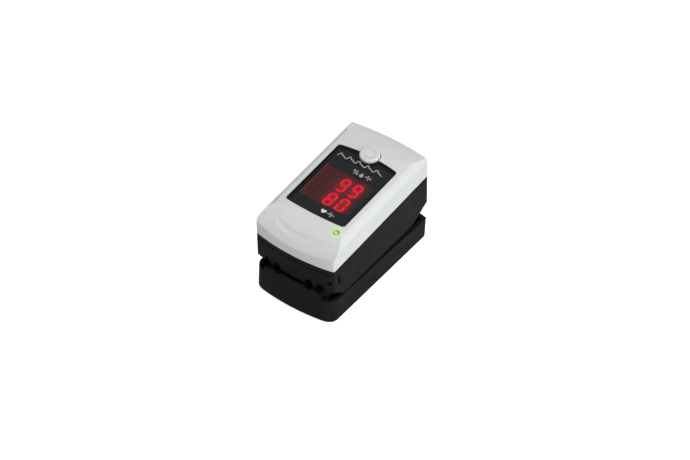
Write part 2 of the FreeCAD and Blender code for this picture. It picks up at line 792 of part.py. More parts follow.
def segment(name, x, y):
    """One slanted bar of a seven-segment digit, pointed at both ends."""
    across, along, turn = SEGMENTS[name]
    half_high = value("digit_height") / 4
    half_wide = value("digit_width") / 2
    stroke = value("digit_stroke") / 2
    reach = (half_high if turn else half_wide) - 0.1
    shape = [(-reach, 0), (-reach + stroke, -stroke), (reach - stroke, -stroke),
             (reach, 0), (reach - stroke, stroke), (-reach + stroke, stroke)]
    lean = math.tan(math.radians(value("digit_slant")))
    points = []
    for u, v in shape:
        u, v = (-v, u) if turn else (u, v)
        u += across * half_wide
        v += along * 2 * half_high
        points.append(V(x + u + lean * v, y + v, value("display_top") - value("digit_depth")))
    face = Part.Face(Part.makePolygon(points + points[:1]))
    return face.extrude(V(0, 0, value("digit_depth")))


def display_digits():
    """Two rows of two digits on the display's face: 99 over 80."""
    lit = {"9": "abcdfg", "8": "abcdefg", "0": "abcdef"}
    bars = []
    for row, number in enumerate(("99", "80")):
        for column, digit in enumerate(number):
            x = value("digit_across") + (column - 0.5) * value("digit_pitch")
            y = value("row_place") - row * value("row_pitch")
            bars += [segment(name, x, y) for name in lit[digit]]
    group = doc.addObject("Part::Feature", "display_digits")
    group.Shape = Part.makeCompound(bars)
    return finish(group, "display_digits", upper=True)


def pulse_bar():
    """The unlit column of bars beside the digits that follows the pulse."""
    bars = Piece("pulse_bar", upper=True)
    outlines = []
    for index in range(int(value("bar_count"))):
        low = f"-display_tail + 1.4 + bar_pitch * {index}"
        outlines.append(box("-display_width / 2 + 1.1", "-display_width / 2 + 4.1", low, f"{low} + 0.9"))
    bars.add("XY", outlines, "digit_depth", lift="display_top - digit_depth")
    return bars


def tactile_switch():
    switch = Piece("tactile_switch", upper=True)
    side = "switch_side / 2"
    switch.add("XY", [box(f"-{side}", side, f"button_place - {side}", f"button_place + {side}")],
               "switch_height", lift="board_top")
    switch.cut("XY", [disc("0", "button_place", "plunger_radius + pin_fit")],
               "plunger_seat + 1.5 * button_travel", lift="board_top + switch_height")
    return switch


def switch_plunger():
    plunger = Piece("switch_plunger", upper=True)
    plunger.add("XY", [disc("0", "button_place", "plunger_radius")], "plunger_height + plunger_seat",
                lift="board_top + switch_height - plunger_seat")
    return plunger


def power_button():
    """A dished round key on a stem, held in by the skirt under the cover."""
    key = Piece("power_button", upper=True)
    top = "(crown_top + button_rise)"
    key.add("XY", [disc("0", "button_place", "button_radius")],
            f"{top} - (window_seat - ledge_thickness - button_gap)",
            lift="window_seat - ledge_thickness - button_gap")
    key.round("edge_round / 2", lambda edge: abs(middle(edge).z - value(top)) < 0.01, chamfer=True)
    key.add("XY", [disc("0", "button_place", "button_skirt")], "1",
            lift="window_seat - ledge_thickness - button_gap - 1")
    key.add("XY", [disc("0", "button_place", "plunger_radius + 0.5")],
            "window_seat - ledge_thickness - button_gap - 1 - board_top - switch_height - plunger_height",
            lift="board_top + switch_height + plunger_height")
    key.cut("XY", [disc("0", "button_place", "button_radius * 0.62"),
                   disc("0", "button_place", "button_radius * 0.5")], "0.25", lift=top)
    return key


def light_source():
    chip = Piece("status_light_chip", upper=True)
    chip.add("XY", [box("light_across - 0.8", "light_across + 0.8",
                        "-light_along - 0.5", "-light_along + 0.5")], "0.8", lift="board_top")
    return chip


def board_chips():
    """The chips under the display's end of the board, as one group of solids."""
    chips = Piece("board_chips", upper=True)
    chips.add("XY", [box("-4", "4", "-8", "0")], "board_bottom - 0.02 + deck_top * 0.4",
              lift="board_bottom", reverse=True)
    chips.add("XY", [box("6.5", "10.5", "-7", "-3")], "1.0", lift="board_bottom", reverse=True)
    chips.add("XY", [box("-10", "-7.5", "6", "10")], "1.0", lift="board_bottom", reverse=True)
    return chips


def emitter():
    """The small board of red and infrared lights over the fingernail."""
    board = Piece("emitter_board", upper=True)
    wide, long = "sensor_width / 2 - 0.2", "sensor_length / 2 - 0.2"
    board.add("XY", [box(f"-({wide})", wide, f"sensor_place - ({long})", f"sensor_place + ({long})")],
              "0.8", lift="-deck_bottom")
    lights = Piece("emitter_lights", upper=True)
    for x in ("-1.1", "1.1"):
        lights.add("XY", [box(f"{x} - 0.7", f"{x} + 0.7", "sensor_place - 0.7", "sensor_place + 0.7")],
                   "0.7", lift="-deck_bottom", reverse=True)
    return board


# ---------------------------------------------------------------- lower half

def rounded_foot(label, block):
    """Round a block's foot, widely along its tail and less along its sides."""
    foot = doc.addObject("Part::Fillet", label + "_foot")
    foot.Base = block
    tail, side, corner = value("tail_round"), value("bottom_round"), value("tail_corner")
    radii = []
    for index, edge in enumerate(block.Shape.Edges, start=1):
        point = middle(edge)
        if point.z > 0.01:
            continue
        start = stop = tail if point.y < 0 and abs(point.x) < 1 else side
        if abs(getattr(edge.Curve, "Radius", 0) - corner) < 0.01:
            # the foot is walked one way round, so its two corners change in opposite order
            start, stop = (side, tail) if point.x < 0 else (tail, side)
        radii.append((index, start, stop))
    foot.Edges = radii
    doc.recompute()
    return foot


def lower_block(label):
    """The lower half's outer form, which the housing and the door share."""
    form = Piece(label + "_form")
    PIECES.remove(form.body)
    form.add("XY", [lower_plan()], "tail_wall_height")
    tail = value("lower_tail")
    form.round("tail_corner", lambda edge: upright(edge) and middle(edge).y < 0)
    side = value("half_width - edge_round")
    form.round("edge_round", lambda edge: upright(edge) and middle(edge).y > tail - 1
               and abs(middle(edge).x) > side)
    return Piece(label, base=rounded_foot(label, form.body))


def tail_ribs(shell):
    """Short ribs beside the pockets of the lower tail wall, each ending in a bead."""
    low = "tail_wall_height - rib_drop"
    for step in ("0", "pocket_pitch"):
        for hand in ("", "-"):
            place = f"{hand}(pocket_inner + {step} - rib_width / 2)"
            face = (f"(lower_tail + sqrt(bow_radius ^ 2 - ({place}) ^ 2)"
                    " - sqrt(bow_radius ^ 2 - half_width ^ 2))")
            shell.add("XZ", [box(f"{place} - rib_width / 2", f"{place} + rib_width / 2", low,
                                 "tail_wall_height")],
                      "2 * rib_proud", lift=f"{face} - rib_proud")
            shell.add("XZ", [disc(place, low, "bead_radius")], "3 * rib_proud",
                      lift=f"{face} - rib_proud")


def lower_housing():
    """The tail wall, the side strips and the tray that the two cells lie in."""
    shell = lower_block("lower_housing")
    wall = "lower_wall"
    shell.cut("XY", [lower_plan(wall)], "tail_wall_height + 1 - door_floor",
              lift="tail_wall_height + 1")
    shell.cut("XY", [lower_plan("tail_lip_thickness")], "tail_lip_height + 1",
              lift="tail_wall_height + 1")
    inner_tail = f"-(lower_tail - {wall})"
    shell.cut("YZ", [[
        (inner_tail, "-1"),
        ("lower_mouth + 5", "-1"),
        ("lower_mouth + 5", "tail_wall_height + 1"),
        ("block_place", "tail_wall_height + 1"),
        ("block_place", "side_top_mouth"),
        ("wing_mouth_place", "wing_mouth_height"),
        (inner_tail, "wing_tail_height"),
    ]], "body_width + 2", side="Symmetric")
    shell.cut("YZ", [[
        ("-lower_tail + tail_corner", "side_top_tail"),
        ("lower_mouth + 5", "side_top_mouth"),
        ("lower_mouth + 5", "tail_wall_height + 1"),
        ("-lower_tail + tail_corner", "tail_wall_height + 1"),
    ]], "body_width + 2", side="Symmetric")
    for hand in (-1, 1):
        near, far = ("half_width - tail_corner", "half_width + 1")
        sides = (near, far) if hand > 0 else (f"-({far})", f"-({near})")
        shell.cut("XZ", [box(*sides, "side_top_tail", "tail_wall_height + 1")], "lower_tail + 5",
                  lift="0", reverse=True)
    shell.cut("XZ", pockets("tail_wall_height + 1", "tail_wall_height - pocket_drop / 2", -1), "5",
              lift="lower_tail - lower_wall", reverse=True)
    tail_ribs(shell)
    outer = "tray_outer"
    shell.add("XY", [box(f"-{outer}", outer, "-tray_tail", "tray_mouth"),
                     box("-tray_inner", "tray_inner", "-tray_tail + tray_wall", "tray_mouth - tray_wall")],
              "frame_bottom - door_floor - door_gap", lift="door_floor + door_gap")
    shell.add("XY", [box("-tray_outer + 1", "tray_outer - 1", inner_tail + " - 0.6", "-tray_tail + 0.3")],
              "frame_bottom - door_floor - door_gap", lift="door_floor + door_gap")
    for x in ("-frame_screw_across", "frame_screw_across"):
        shell.add("XY", [disc(x, "-frame_screw_along", "boss_radius")], "frame_bottom - shelf_height",
                  lift="shelf_height")
        shell.cut("XY", [disc(x, "-frame_screw_along", "screw_radius - 0.1")], "5",
                  lift="frame_bottom")
    for hand in ("", "-"):
        low, high = ("tray_outer - 0.2", "half_width - lower_wall + 0.2")
        sides = (low, high) if not hand else (f"-({high})", f"-({low})")
        shell.add("XY", [box(*sides, inner_tail + " - 0.3", "block_place - 1.6")],
                  "shelf_thickness", lift="shelf_height")
        low, high = ("tray_outer - 0.2", "tray_outer + 1.4")
        sides = (low, high) if not hand else (f"-({high})", f"-({low})")
        shell.add("XY", [box(*sides, "-tray_tail", "tray_mouth - 3")], "rail_thickness",
                  lift="rail_height")
    return shell


def battery_door():
    """The sliding door: floor, two low wings and the full block at the mouth."""
    door = lower_block("battery_door")
    edge = "-(lower_tail - lower_wall - door_gap)"
    door.cut("XY", [lower_plan("lower_wall")], "tail_wall_height + 2",
             lift="door_floor", reverse=True)
    door.cut("YZ", [[
        (edge, "wing_tail_height - door_gap"),
        ("wing_mouth_place + door_gap", "wing_mouth_height - door_gap"),
        ("block_place + door_gap", "side_top_mouth"),
        ("lower_mouth + 5", "side_top_mouth + 0.1"),
        ("lower_mouth + 5", "tail_wall_height + 1"),
        (edge, "tail_wall_height + 1"),
    ]], "body_width + 2", side="Symmetric")
    door.cut("YZ", [box("-lower_tail - 5", edge, "-1", "tail_wall_height + 1")],
             "body_width + 2", side="Symmetric")
    for hand in ("", "-"):
        low, high = ("tray_outer + 0.3", "half_width - lower_wall + 0.2")
        sides = (low, high) if not hand else (f"-({high})", f"-({low})")
        door.add("XY", [box(*sides, edge + " + 1", "wing_mouth_place - 1")], "rail_thickness",
                 lift="rail_height + rail_thickness + 0.25")
    grips = []
    for index in range(int(value("grip_count"))):
        low = f"lower_mouth - 5 - grip_pitch * {index}"
        grips.append(box("-grip_width / 2", "grip_width / 2", f"{low} - 0.8", low))
    door.cut("XY", grips, "grip_depth", reverse=True)
    return door


def lower_frame():
    """The plate over the cells that carries the pad and the hinge ears."""
    frame = Piece("lower_frame")
    frame.add("XY", [box("-frame_width / 2", "frame_width / 2", "-frame_tail", "frame_mouth")],
              "frame_thickness", lift="frame_bottom")
    frame.round("edge_round", upright)
    for inner, outer in (("lower_ear_inner", "lower_ear_inner + ear_thickness"),
                         ("-lower_ear_inner - ear_thickness", "-lower_ear_inner"),
                         ("-ear_thickness / 2", "ear_thickness / 2")):
        frame.add("YZ", [[
            ("-hinge_place - ear_radius", "frame_top - 0.2"),
            ("-hinge_place + ear_radius", "frame_top - 0.2"),
            ("-hinge_place + ear_radius", "hinge_height", "ear_radius", 1),
            ("-hinge_place", "hinge_height + ear_radius", "ear_radius", 1),
            ("-hinge_place - ear_radius", "hinge_height"),
        ]], f"{outer} - ({inner})", lift=inner)
    frame.cut("YZ", [disc("-hinge_place", "hinge_height", "pin_radius + pin_fit")],
              "2 * (lower_ear_inner + ear_thickness) + 1", side="Symmetric")
    side = "lower_ear_inner + ear_thickness + 0.05"
    frame.cut("XY", [box(side, "body_width", "-body_width", "-hinge_place + ear_radius + part_gap"),
                     box("-body_width", f"-({side})", "-body_width",
                         "-hinge_place + ear_radius + part_gap")], "5", lift="frame_top + 3")
    frame.cut("XY", [disc(x, "-frame_screw_along", "screw_radius")
                     for x in ("-frame_screw_across", "frame_screw_across")], "5",
              lift="frame_top + 1")
    frame.cut("XY", [box("-sensor_width / 2", "sensor_width / 2",
                         "sensor_place - sensor_length / 2", "sensor_place + sensor_length / 2")],
              "5", lift="frame_top + 1")
    return frame


def lower_finger_pad():
    """The rubber floor of the finger tunnel."""
    pad = Piece("lower_finger_pad")
    half = "lower_pad_width / 2"
    pad.add("XZ", [box(f"-{half}", half, "frame_top", "lower_pad_height")],
            "pad_tail + frame_mouth", lift="pad_tail", reverse=True)
    pad.round("edge_round", lambda edge: abs(middle(edge).z - value("lower_pad_height")) < 0.01)
    tunnel(pad, "lower_tunnel_bottom + cradle_radius", "lower_tunnel_bottom - 0.3 + cradle_radius + 1",
           "cradle_radius", "cradle_radius + 1", "frame_mouth")
    pad.cut("XY", [box("-sensor_width / 2", "sensor_width / 2",
                       "sensor_place - sensor_length / 2", "sensor_place + sensor_length / 2")],
            "lower_pad_height", lift="lower_pad_height + 1")
    pad.cut("XY", [box("-ribbon_width / 2 - 0.3", "ribbon_width / 2 + 0.3", "-pad_tail - 1",
                       "sensor_place")], "0.5", lift="frame_top", reverse=True)
    return pad


def detector():
    """The photodiode under the fingertip, on its own small board."""
    board = Piece("detector_board")
    wide, long = "sensor_width / 2 - 0.2", "sensor_length / 2 - 0.2"
    board.add("XY", [box(f"-({wide})", wide, f"sensor_place - ({long})", f"sensor_place + ({long})")],
              "0.8", lift="frame_bottom + 0.2")
    diode = Piece("photodiode")
    diode.add("XY", [box("-1.4", "1.4", "sensor_place - 1.4", "sensor_place + 1.4")], "0.9",
              lift="frame_bottom + 1")


def cell(label, hand, turned):
    """One AAA cell, lying along Y, its raised end at the tail or the mouth."""
    body = Piece(label)
    profile = [
        ("0", "0"),
        ("cell_radius", "0"),
        ("cell_radius", "cell_length"),
        ("cell_nub_radius", "cell_length"),
        ("cell_nub_radius", "cell_length + cell_nub_length"),
        ("0", "cell_length + cell_nub_length"),
    ]
    body.turn(profile, plane="XY")
    can = value("cell_radius")
    body.round("edge_round / 2", lambda edge: abs(edge.Length - 2 * math.pi * can) < 0.1,
               chamfer=True)
    start = "-cell_tail"
    if turned:
        body.body.Placement = FreeCAD.Placement(V(0, 0, 0), FreeCAD.Rotation(V(0, 0, 1), 180))
        start = "cell_length + cell_nub_length - cell_tail"
    bind(body.body, **{"Placement.Base.x": f"{hand} * cell_across", "Placement.Base.y": start,
                       "Placement.Base.z": "cell_height"})
    return body


def hinge_pin():
    pin = Piece("hinge_pin")
    pin.add("YZ", [disc("-hinge_place", "hinge_height", "pin_radius")], "2 * upper_ear_outer - 0.2",
            side="Symmetric")
    end = value("upper_ear_outer") - 1
    pin.round("pin_radius / 4", lambda edge: abs(middle(edge).x) > end, chamfer=True)
    return pin


def ribbon():
    """The flexible ribbon that joins the two boards beside the hinge."""
    strip = Piece("link_ribbon")
    rise = "(seam_height - ribbon_place * sin(rest_angle) + board_bottom * cos(rest_angle))"
    low, high = "(frame_top + 0.1)", "(frame_top + 0.1 + ribbon_thickness)"
    out, back = "-ribbon_place + 0.4", "-ribbon_place + 0.4 + ribbon_thickness"
    strip.add("YZ", [[
        ("sensor_place - 2.4", low),
        ("sensor_place - 2.4", high),
        (f"{back} + 1", high, "1", -1),
        (back, f"{high} + 1"),
        (back, f"{rise} - 2.5"),
        (f"{back} - 0.9", f"{rise} - 0.2"),
        (f"{out} - 0.9", f"{rise} - 0.2"),
        (out, f"{rise} - 2.5"),
        (out, f"{high} + 1", "1 + ribbon_thickness", 1),
        (f"{back} + 1", low),
    ]], "ribbon_width", side="Symmetric")
    return strip


def torsion_spring(label, hand):
    """A close coil round the pin, its two legs pressing the tails apart."""
    spring = Piece(label)
    bind(spring.body, **{"Placement.Base.y": "-hinge_place", "Placement.Base.z": "hinge_height"})
    start = f"{hand} * coil_inner"
    stop = f"{hand} * (coil_inner + coil_pitch * coil_turns)"
    wide, flat = "wire_radius", "wire_radius * 0.414"
    section = [(flat, f"-{wide}"), (wide, f"-{flat}"), (wide, flat), (flat, wide),
               (f"-{flat}", wide), (f"-{wide}", flat), (f"-{wide}", f"-{flat}"),
               (f"-{flat}", f"-{wide}")]
    profile = spring.sketch("XZ", [[(f"{start} + {x}", f"{y} - coil_radius") for x, y in section]])
    coil = spring.body.newObject("PartDesign::AdditiveHelix", f"{label}_coil")
    coil.Profile = profile
    coil.ReferenceAxis = (profile, ["H_Axis"])
    coil.Mode = "pitch-turns-angle"
    coil.Reversed = hand < 0
    coil.LeftHanded = hand < 0
    bind(coil, Pitch="coil_pitch", Turns="coil_turns")
    doc.recompute()
    spring.add("XZ", [disc(start, "-coil_radius", "wire_radius")], "leg_reach")
    length = "leg_reach * 1.5"
    leg = spring.body.newObject("PartDesign::AdditiveCylinder", f"{label}_leg")
    bind(leg, Radius="wire_radius", Height=length)
    lean = math.radians(360 * (value("coil_turns") % 1))
    reach = value("coil_radius")
    point = V(value(stop), reach * math.sin(lean), -reach * math.cos(lean))
    leg.Placement = FreeCAD.Placement(point, FreeCAD.Rotation(V(1, 0, 0), 45))
    doc.recompute()
    return spring


def contact_leaf(plate_place, touch_place):
    """The side view of one sprung leaf between a plate and a cell's end."""
    return [
        (plate_place, "cell_height - 3.4"),
        (f"{plate_place} + contact_thickness", "cell_height - 3.4"),
        (touch_place, "cell_height - 0.5"),
        (touch_place, "cell_height + 0.5"),
        (f"{touch_place} - contact_thickness", "cell_height + 0.5"),
        (f"{touch_place} - contact_thickness", "cell_height - 0.3"),
        (f"{plate_place}", "cell_height - 2.6"),
    ]


def battery_contacts():
    """A plate behind each cell at the tail, with a leaf bent up from it."""
    contacts = Piece("battery_contacts")
    for hand in ("-", ""):
        low, high = "cell_across - contact_width / 2", "cell_across + contact_width / 2"
        sides = (low, high) if not hand else (f"-({high})", f"-({low})")
        contacts.add("XY", [box(*sides, "-tray_tail + tray_wall",
                                "-tray_tail + tray_wall + contact_thickness")],
                     "8", lift="cell_height - 4")
        low, high = "cell_across - 1.2", "cell_across + 1.2"
        lift = low if not hand else f"-({high})"
        contacts.add("YZ", [contact_leaf("-tray_tail + tray_wall + contact_thickness - 0.1",
                                         "-cell_tail")], "2.4", lift=lift)
    return contacts


def battery_bridge():
    """The plate at the mouth that joins one cell to the other."""
    bridge = Piece("battery_bridge")
    face = "tray_mouth - tray_wall"
    bridge.add("XY", [box("-cell_across - 3.2", "cell_across + 3.2",
                          f"{face} - contact_thickness", face)], "7", lift="cell_height - 3.5")
    for x in ("-cell_across", "cell_across"):
        bridge.add("XZ", [disc(x, "cell_height", "1.3")], f"{face} - cell_mouth - 0.1",
                   lift=f"-({face} - 0.1)")
    return bridge


def frame_screws():
    screws = Piece("frame_screws")
    for x in ("-frame_screw_across", "frame_screw_across"):
        screws.add("XY", [disc(x, "-frame_screw_along", "screw_radius + 0.45")], "head_height",
                   lift="frame_top")
        screws.add("XY", [disc(x, "-frame_screw_along", "screw_radius - 0.1")], "frame_thickness + 3.5",
                   lift="frame_top + 0.1", reverse=True)
        screws.cut("XY", [box(f"{x} - 1", f"{x} + 1", "-frame_screw_along - 0.15",
                              "-frame_screw_along + 0.15")], "0.3", lift="frame_top + head_height")
    return screws


def check_and_export():
    doc.recompute()
    for thing in doc.Objects:
        if "Invalid" in thing.State or "Error" in thing.State:
            raise ValueError(f"{thing.Name} failed: {thing.State}")
    os.makedirs("parts", exist_ok=True)
    for piece in PIECES:
        shape = piece.Shape
        if shape.isNull() or not shape.isValid():
            raise ValueError(f"{piece.Label} has no valid shape")
        shape.exportStep(f"parts/{piece.Label}.step")
        size = shape.BoundBox
        print(f"{piece.Label:24s} solids {len(shape.Solids)} volume {shape.Volume:9.1f}"
              f"  z {size.ZMin:6.2f} {size.ZMax:6.2f}  y {size.YMin:6.2f} {size.YMax:6.2f}")


top_cover()
display_window()
status_light_pipe()
light_source()
power_button()
switch_plunger()
tactile_switch()
display_module()
display_digits()
pulse_bar()
main_board()
board_screws()
board_chips()
housing = upper_housing()
groove_and_eye(housing)
deck_details(housing)
cover_screws()
emitter()
upper_finger_pad()

lower_housing()
battery_door()
lower_frame()
lower_finger_pad()
detector()
cell("battery_left", -1, False)
cell("battery_right", 1, True)
hinge_pin()
frame_screws()
battery_contacts()
battery_bridge()
ribbon()
torsion_spring("torsion_spring_left", -1)
torsion_spring("torsion_spring_right", 1)
check_and_export()
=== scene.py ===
# %% [markdown]
# # A fingertip pulse oximeter
# The device is a small spring clip: a silver-topped upper half with a dark display
# window, a black lower half with two cells behind a sliding door, and a hinge between
# them. The solid parts come ready-made. This notebook dresses them: it gives each one
# the plastic, rubber, metal or film it is made of, adds the thin things a solid model
# leaves out, such as printing, and lights it on a white table.

# %% Load the solid parts
import math
import bmesh
import bpy
from mathutils import Matrix, Vector


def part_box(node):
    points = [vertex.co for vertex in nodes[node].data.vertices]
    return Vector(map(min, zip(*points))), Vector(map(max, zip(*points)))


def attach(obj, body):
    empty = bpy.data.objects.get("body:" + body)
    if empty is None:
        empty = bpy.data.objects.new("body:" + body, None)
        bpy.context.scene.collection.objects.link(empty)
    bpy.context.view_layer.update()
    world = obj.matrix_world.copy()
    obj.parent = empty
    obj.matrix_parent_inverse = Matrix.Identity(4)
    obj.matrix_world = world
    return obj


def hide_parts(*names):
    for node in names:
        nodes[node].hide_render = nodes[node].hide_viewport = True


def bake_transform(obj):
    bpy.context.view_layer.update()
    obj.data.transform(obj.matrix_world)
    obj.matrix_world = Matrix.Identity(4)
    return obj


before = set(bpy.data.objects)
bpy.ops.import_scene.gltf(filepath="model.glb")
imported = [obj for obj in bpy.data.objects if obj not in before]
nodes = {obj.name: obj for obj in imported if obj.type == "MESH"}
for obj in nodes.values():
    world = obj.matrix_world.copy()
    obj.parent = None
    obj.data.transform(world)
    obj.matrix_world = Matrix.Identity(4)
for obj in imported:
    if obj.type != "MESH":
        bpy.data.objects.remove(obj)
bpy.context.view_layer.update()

# %% [markdown]
# ## Measures
# The upper half was drawn level and then laid down tilted, because the clip rests
# slightly open at its mouth. Pieces that sit on it, such as the printing on its window,
# could be typed in their tilted places, but then every height would depend on the tilt.
# They are made level instead, and one matrix carries them to their tilted place.

# %% Scale, tilt and the window's crown
MM = 0.001
SEAM_HEIGHT = 27.15 * MM
REST_ANGLE = math.radians(4.6)
CROWN_TOP = 9.7 * MM
CROWN_RADIUS = 169.25 * MM
WINDOW_HALF = 11.9 * MM

to_upper = Matrix.Translation((0, 0, SEAM_HEIGHT)) @ Matrix.Rotation(REST_ANGLE, 4, "X")


def crown_height(x):
    """The window's height above the seam, at a distance across from its middle."""
    return CROWN_TOP - x * x / (2 * CROWN_RADIUS)


window_drop = crown_height(0) - crown_height(WINDOW_HALF)
print("the window is", round(window_drop / MM, 2), "mm crowned")

# %% [markdown]
# ## Shader groups
# Moulded plastic is never quite plain. It has a fine grain from the steel mould, and
# broad faint changes in sheen where it was handled. Both effects are wanted on many
# parts. They could be drawn again in every material, but then a change would have to be
# made in each. So each effect is a node group: built once, then placed in a material
# with the values that suit that part. A group hands out only numbers and colours. The
# shader itself stays in the material.

# %% A helper that starts a node group
def start_group(name, inputs, outputs):
    """An empty shader group with float inputs {name: default} and outputs {name: kind}."""
    group = bpy.data.node_groups.new(name, "ShaderNodeTree")
    for label, default in inputs.items():
        socket = group.interface.new_socket(label, in_out="INPUT", socket_type="NodeSocketFloat")
        socket.default_value = default
    for label, kind in outputs.items():
        group.interface.new_socket(label, in_out="OUTPUT", socket_type=kind)
    entry = group.nodes.new("NodeGroupInput")
    leave = group.nodes.new("NodeGroupOutput")
    return group, entry, leave


def add(tree, kind, **settings):
    """A new node with its settings, and then with plain values on its inputs."""
    node = tree.nodes.new(kind)
    for name, setting in settings.items():
        if name == "inputs":
            for socket, value in setting.items():
                node.inputs[socket].default_value = value
        else:
            setattr(node, name, setting)
    return node


def wire(tree, *pairs):
    """Join output to input for each pair (node, output, node, input)."""
    for source, out, target, into in pairs:
        tree.links.new(source.outputs[out], target.inputs[into])


print("group and node helpers are ready")

# %% Mould grain: a fine bumpy skin
FINE_SHARE = 0.5
grain, entry, leave = start_group(
    "mould grain", {"Size": 3200.0, "Depth": 1.0},
    {"Height": "NodeSocketFloat", "Sheen": "NodeSocketFloat"})
place = add(grain, "ShaderNodeTexCoord")
fine = add(grain, "ShaderNodeTexNoise", inputs={"Detail": 2.0, "Roughness": 0.55})
cells = add(grain, "ShaderNodeTexVoronoi", feature="SMOOTH_F1", inputs={"Smoothness": 0.7})
blend = add(grain, "ShaderNodeMath", operation="MULTIPLY_ADD", inputs={1: FINE_SHARE})
scaled = add(grain, "ShaderNodeMath", operation="MULTIPLY")
broad = add(grain, "ShaderNodeTexNoise", inputs={"Scale": 90.0, "Detail": 3.0, "Roughness": 0.6})
wire(grain,
     (place, "Object", fine, "Vector"), (place, "Object", cells, "Vector"),
     (place, "Object", broad, "Vector"),
     (entry, "Size", fine, "Scale"), (entry, "Size", cells, "Scale"),
     (fine, 0, blend, 0), (cells, 0, blend, 2),
     (blend, 0, scaled, 0), (entry, "Depth", scaled, 1),
     (scaled, 0, leave, "Height"), (broad, 0, leave, "Sheen"))
print("mould grain has", len(grain.nodes), "nodes")

# %% Handling marks: broad, faint changes of tone
handled, entry, leave = start_group(
    "handling marks", {"Size": 160.0, "Low": 0.45, "High": 0.75},
    {"Mask": "NodeSocketFloat"})
place = add(handled, "ShaderNodeTexCoord")
cloud = add(handled, "ShaderNodeTexNoise", inputs={"Detail": 4.0, "Roughness": 0.65})
limit = add(handled, "ShaderNodeMapRange", inputs={"To Min": 0.0, "To Max": 1.0})
wire(handled,
     (place, "Object", cloud, "Vector"), (entry, "Size", cloud, "Scale"),
     (cloud, 0, limit, "Value"),
     (entry, "Low", limit, "From Min"), (entry, "High", limit, "From Max"),
     (limit, 0, leave, "Mask"))
print("handling marks has", len(handled.nodes), "nodes")

# %% [markdown]
# ## A plastic to start from
# Nearly every part of the case is moulded plastic. Each could have a material drawn by
# hand, but they share one layout, so one function makes it: a base colour that drifts a
# little, a roughness that follows the sheen, and a bump from the grain. Steady values
# such as the specular level are typed straight on the shader's own sockets, where other
# programs can read them.

# %% Helpers that start a material and mix two colours
def start_material(name, steady):
    """A new material, with steady values on its shader's own sockets."""
    material = bpy.data.materials.new(name)
    material.use_nodes = True
    tree = material.node_tree
    shader = tree.nodes["Principled BSDF"]
    for socket, value in steady.items():
        shader.inputs[socket].default_value = value
    return material, tree, shader


def colour_mix(tree, first=None, second=None):
    """A colour mix with a steady colour on each side that is given."""
    node = add(tree, "ShaderNodeMix", data_type="RGBA")
    for socket, colour in (("A", first), ("B", second)):
        if colour is not None:
            node.inputs[socket].default_value = (*colour, 1)
    return node


print("material helpers are ready")

# %% The plastic builder
SHEEN_SPREAD = 0.08
GRAIN_DEPTH = 0.04 * MM


def plastic(name, colour, shade, roughness, grain_size=3200.0, bump=0.12, specular=0.4):
    """A moulded plastic whose colour drifts from colour to shade over its surface."""
    material, tree, shader = start_material(name, {"Specular IOR Level": specular})
    skin = add(tree, "ShaderNodeGroup", node_tree=grain, inputs={"Size": grain_size})
    marks = add(tree, "ShaderNodeGroup", node_tree=handled)
    tone = colour_mix(tree, colour, shade)
    polish = add(tree, "ShaderNodeMapRange", inputs={
        "From Min": 0.3, "From Max": 0.7,
        "To Min": roughness - SHEEN_SPREAD, "To Max": roughness + SHEEN_SPREAD})
    relief = add(tree, "ShaderNodeBump", inputs={"Strength": bump, "Distance": GRAIN_DEPTH})
    wire(tree,
         (marks, "Mask", tone, "Factor"), (tone, "Result", shader, "Base Color"),
         (skin, "Sheen", polish, "Value"), (polish, 0, shader, "Roughness"),
         (skin, "Height", relief, "Height"), (relief, 0, shader, "Normal"))
    return material


silver = plastic("silver_paint", (0.615, 0.635, 0.625), (0.585, 0.605, 0.595), 0.38,
                 grain_size=5200.0, bump=0.10)
button_grey = plastic("button_plastic", (0.63, 0.645, 0.64), (0.60, 0.615, 0.61), 0.34,
                      grain_size=5200.0, bump=0.06)
black = plastic("black_shell", (0.0110, 0.0110, 0.0112), (0.0125, 0.0125, 0.0128), 0.62,
                grain_size=2600.0, bump=0.30, specular=0.04)
pad_rubber = plastic("pad_rubber", (0.030, 0.030, 0.032), (0.038, 0.038, 0.040), 0.72,
                     grain_size=2200.0, bump=0.45, specular=0.2)
chip_black = plastic("chip_plastic", (0.014, 0.014, 0.014), (0.02, 0.02, 0.02), 0.55,
                     grain_size=4200.0, bump=0.2)
print("plastics:", silver.name, button_grey.name, black.name, pad_rubber.name, chip_black.name)

# %% [markdown]
# ## Metals
# Screws, pin, springs and contacts are small steel parts. Turned and drawn steel shows
# fine lines. They could be cut into the mesh, but they are far finer than any face, so a
# stretched noise drives both the roughness and a shallow bump.

# %% The metal builder
LINE_SHADE = 0.86
LINE_POLISH = (-0.07, 0.09)
LINE_DEPTH = 0.02 * MM


def metal(name, colour, roughness, stretch=(9000.0, 500.0, 500.0)):
    """A bright metal with fine drawn lines along one axis."""
    material, tree, shader = start_material(name, {"Metallic": 1.0})
    place = add(tree, "ShaderNodeTexCoord")
    pull = add(tree, "ShaderNodeMapping", inputs={"Scale": stretch})
    lines = add(tree, "ShaderNodeTexNoise", inputs={"Scale": 1.0, "Detail": 3.0})
    tone = colour_mix(tree, [part * LINE_SHADE for part in colour], colour)
    polish = add(tree, "ShaderNodeMapRange", inputs={
        "To Min": roughness + LINE_POLISH[0], "To Max": roughness + LINE_POLISH[1]})
    relief = add(tree, "ShaderNodeBump", inputs={"Strength": 0.15, "Distance": LINE_DEPTH})
    wire(tree,
         (place, "Object", pull, "Vector"), (pull, 0, lines, "Vector"),
         (lines, 0, tone, "Factor"), (tone, "Result", shader, "Base Color"),
         (lines, 0, polish, "Value"), (polish, 0, shader, "Roughness"),
         (lines, 0, relief, "Height"), (relief, 0, shader, "Normal"))
    return material


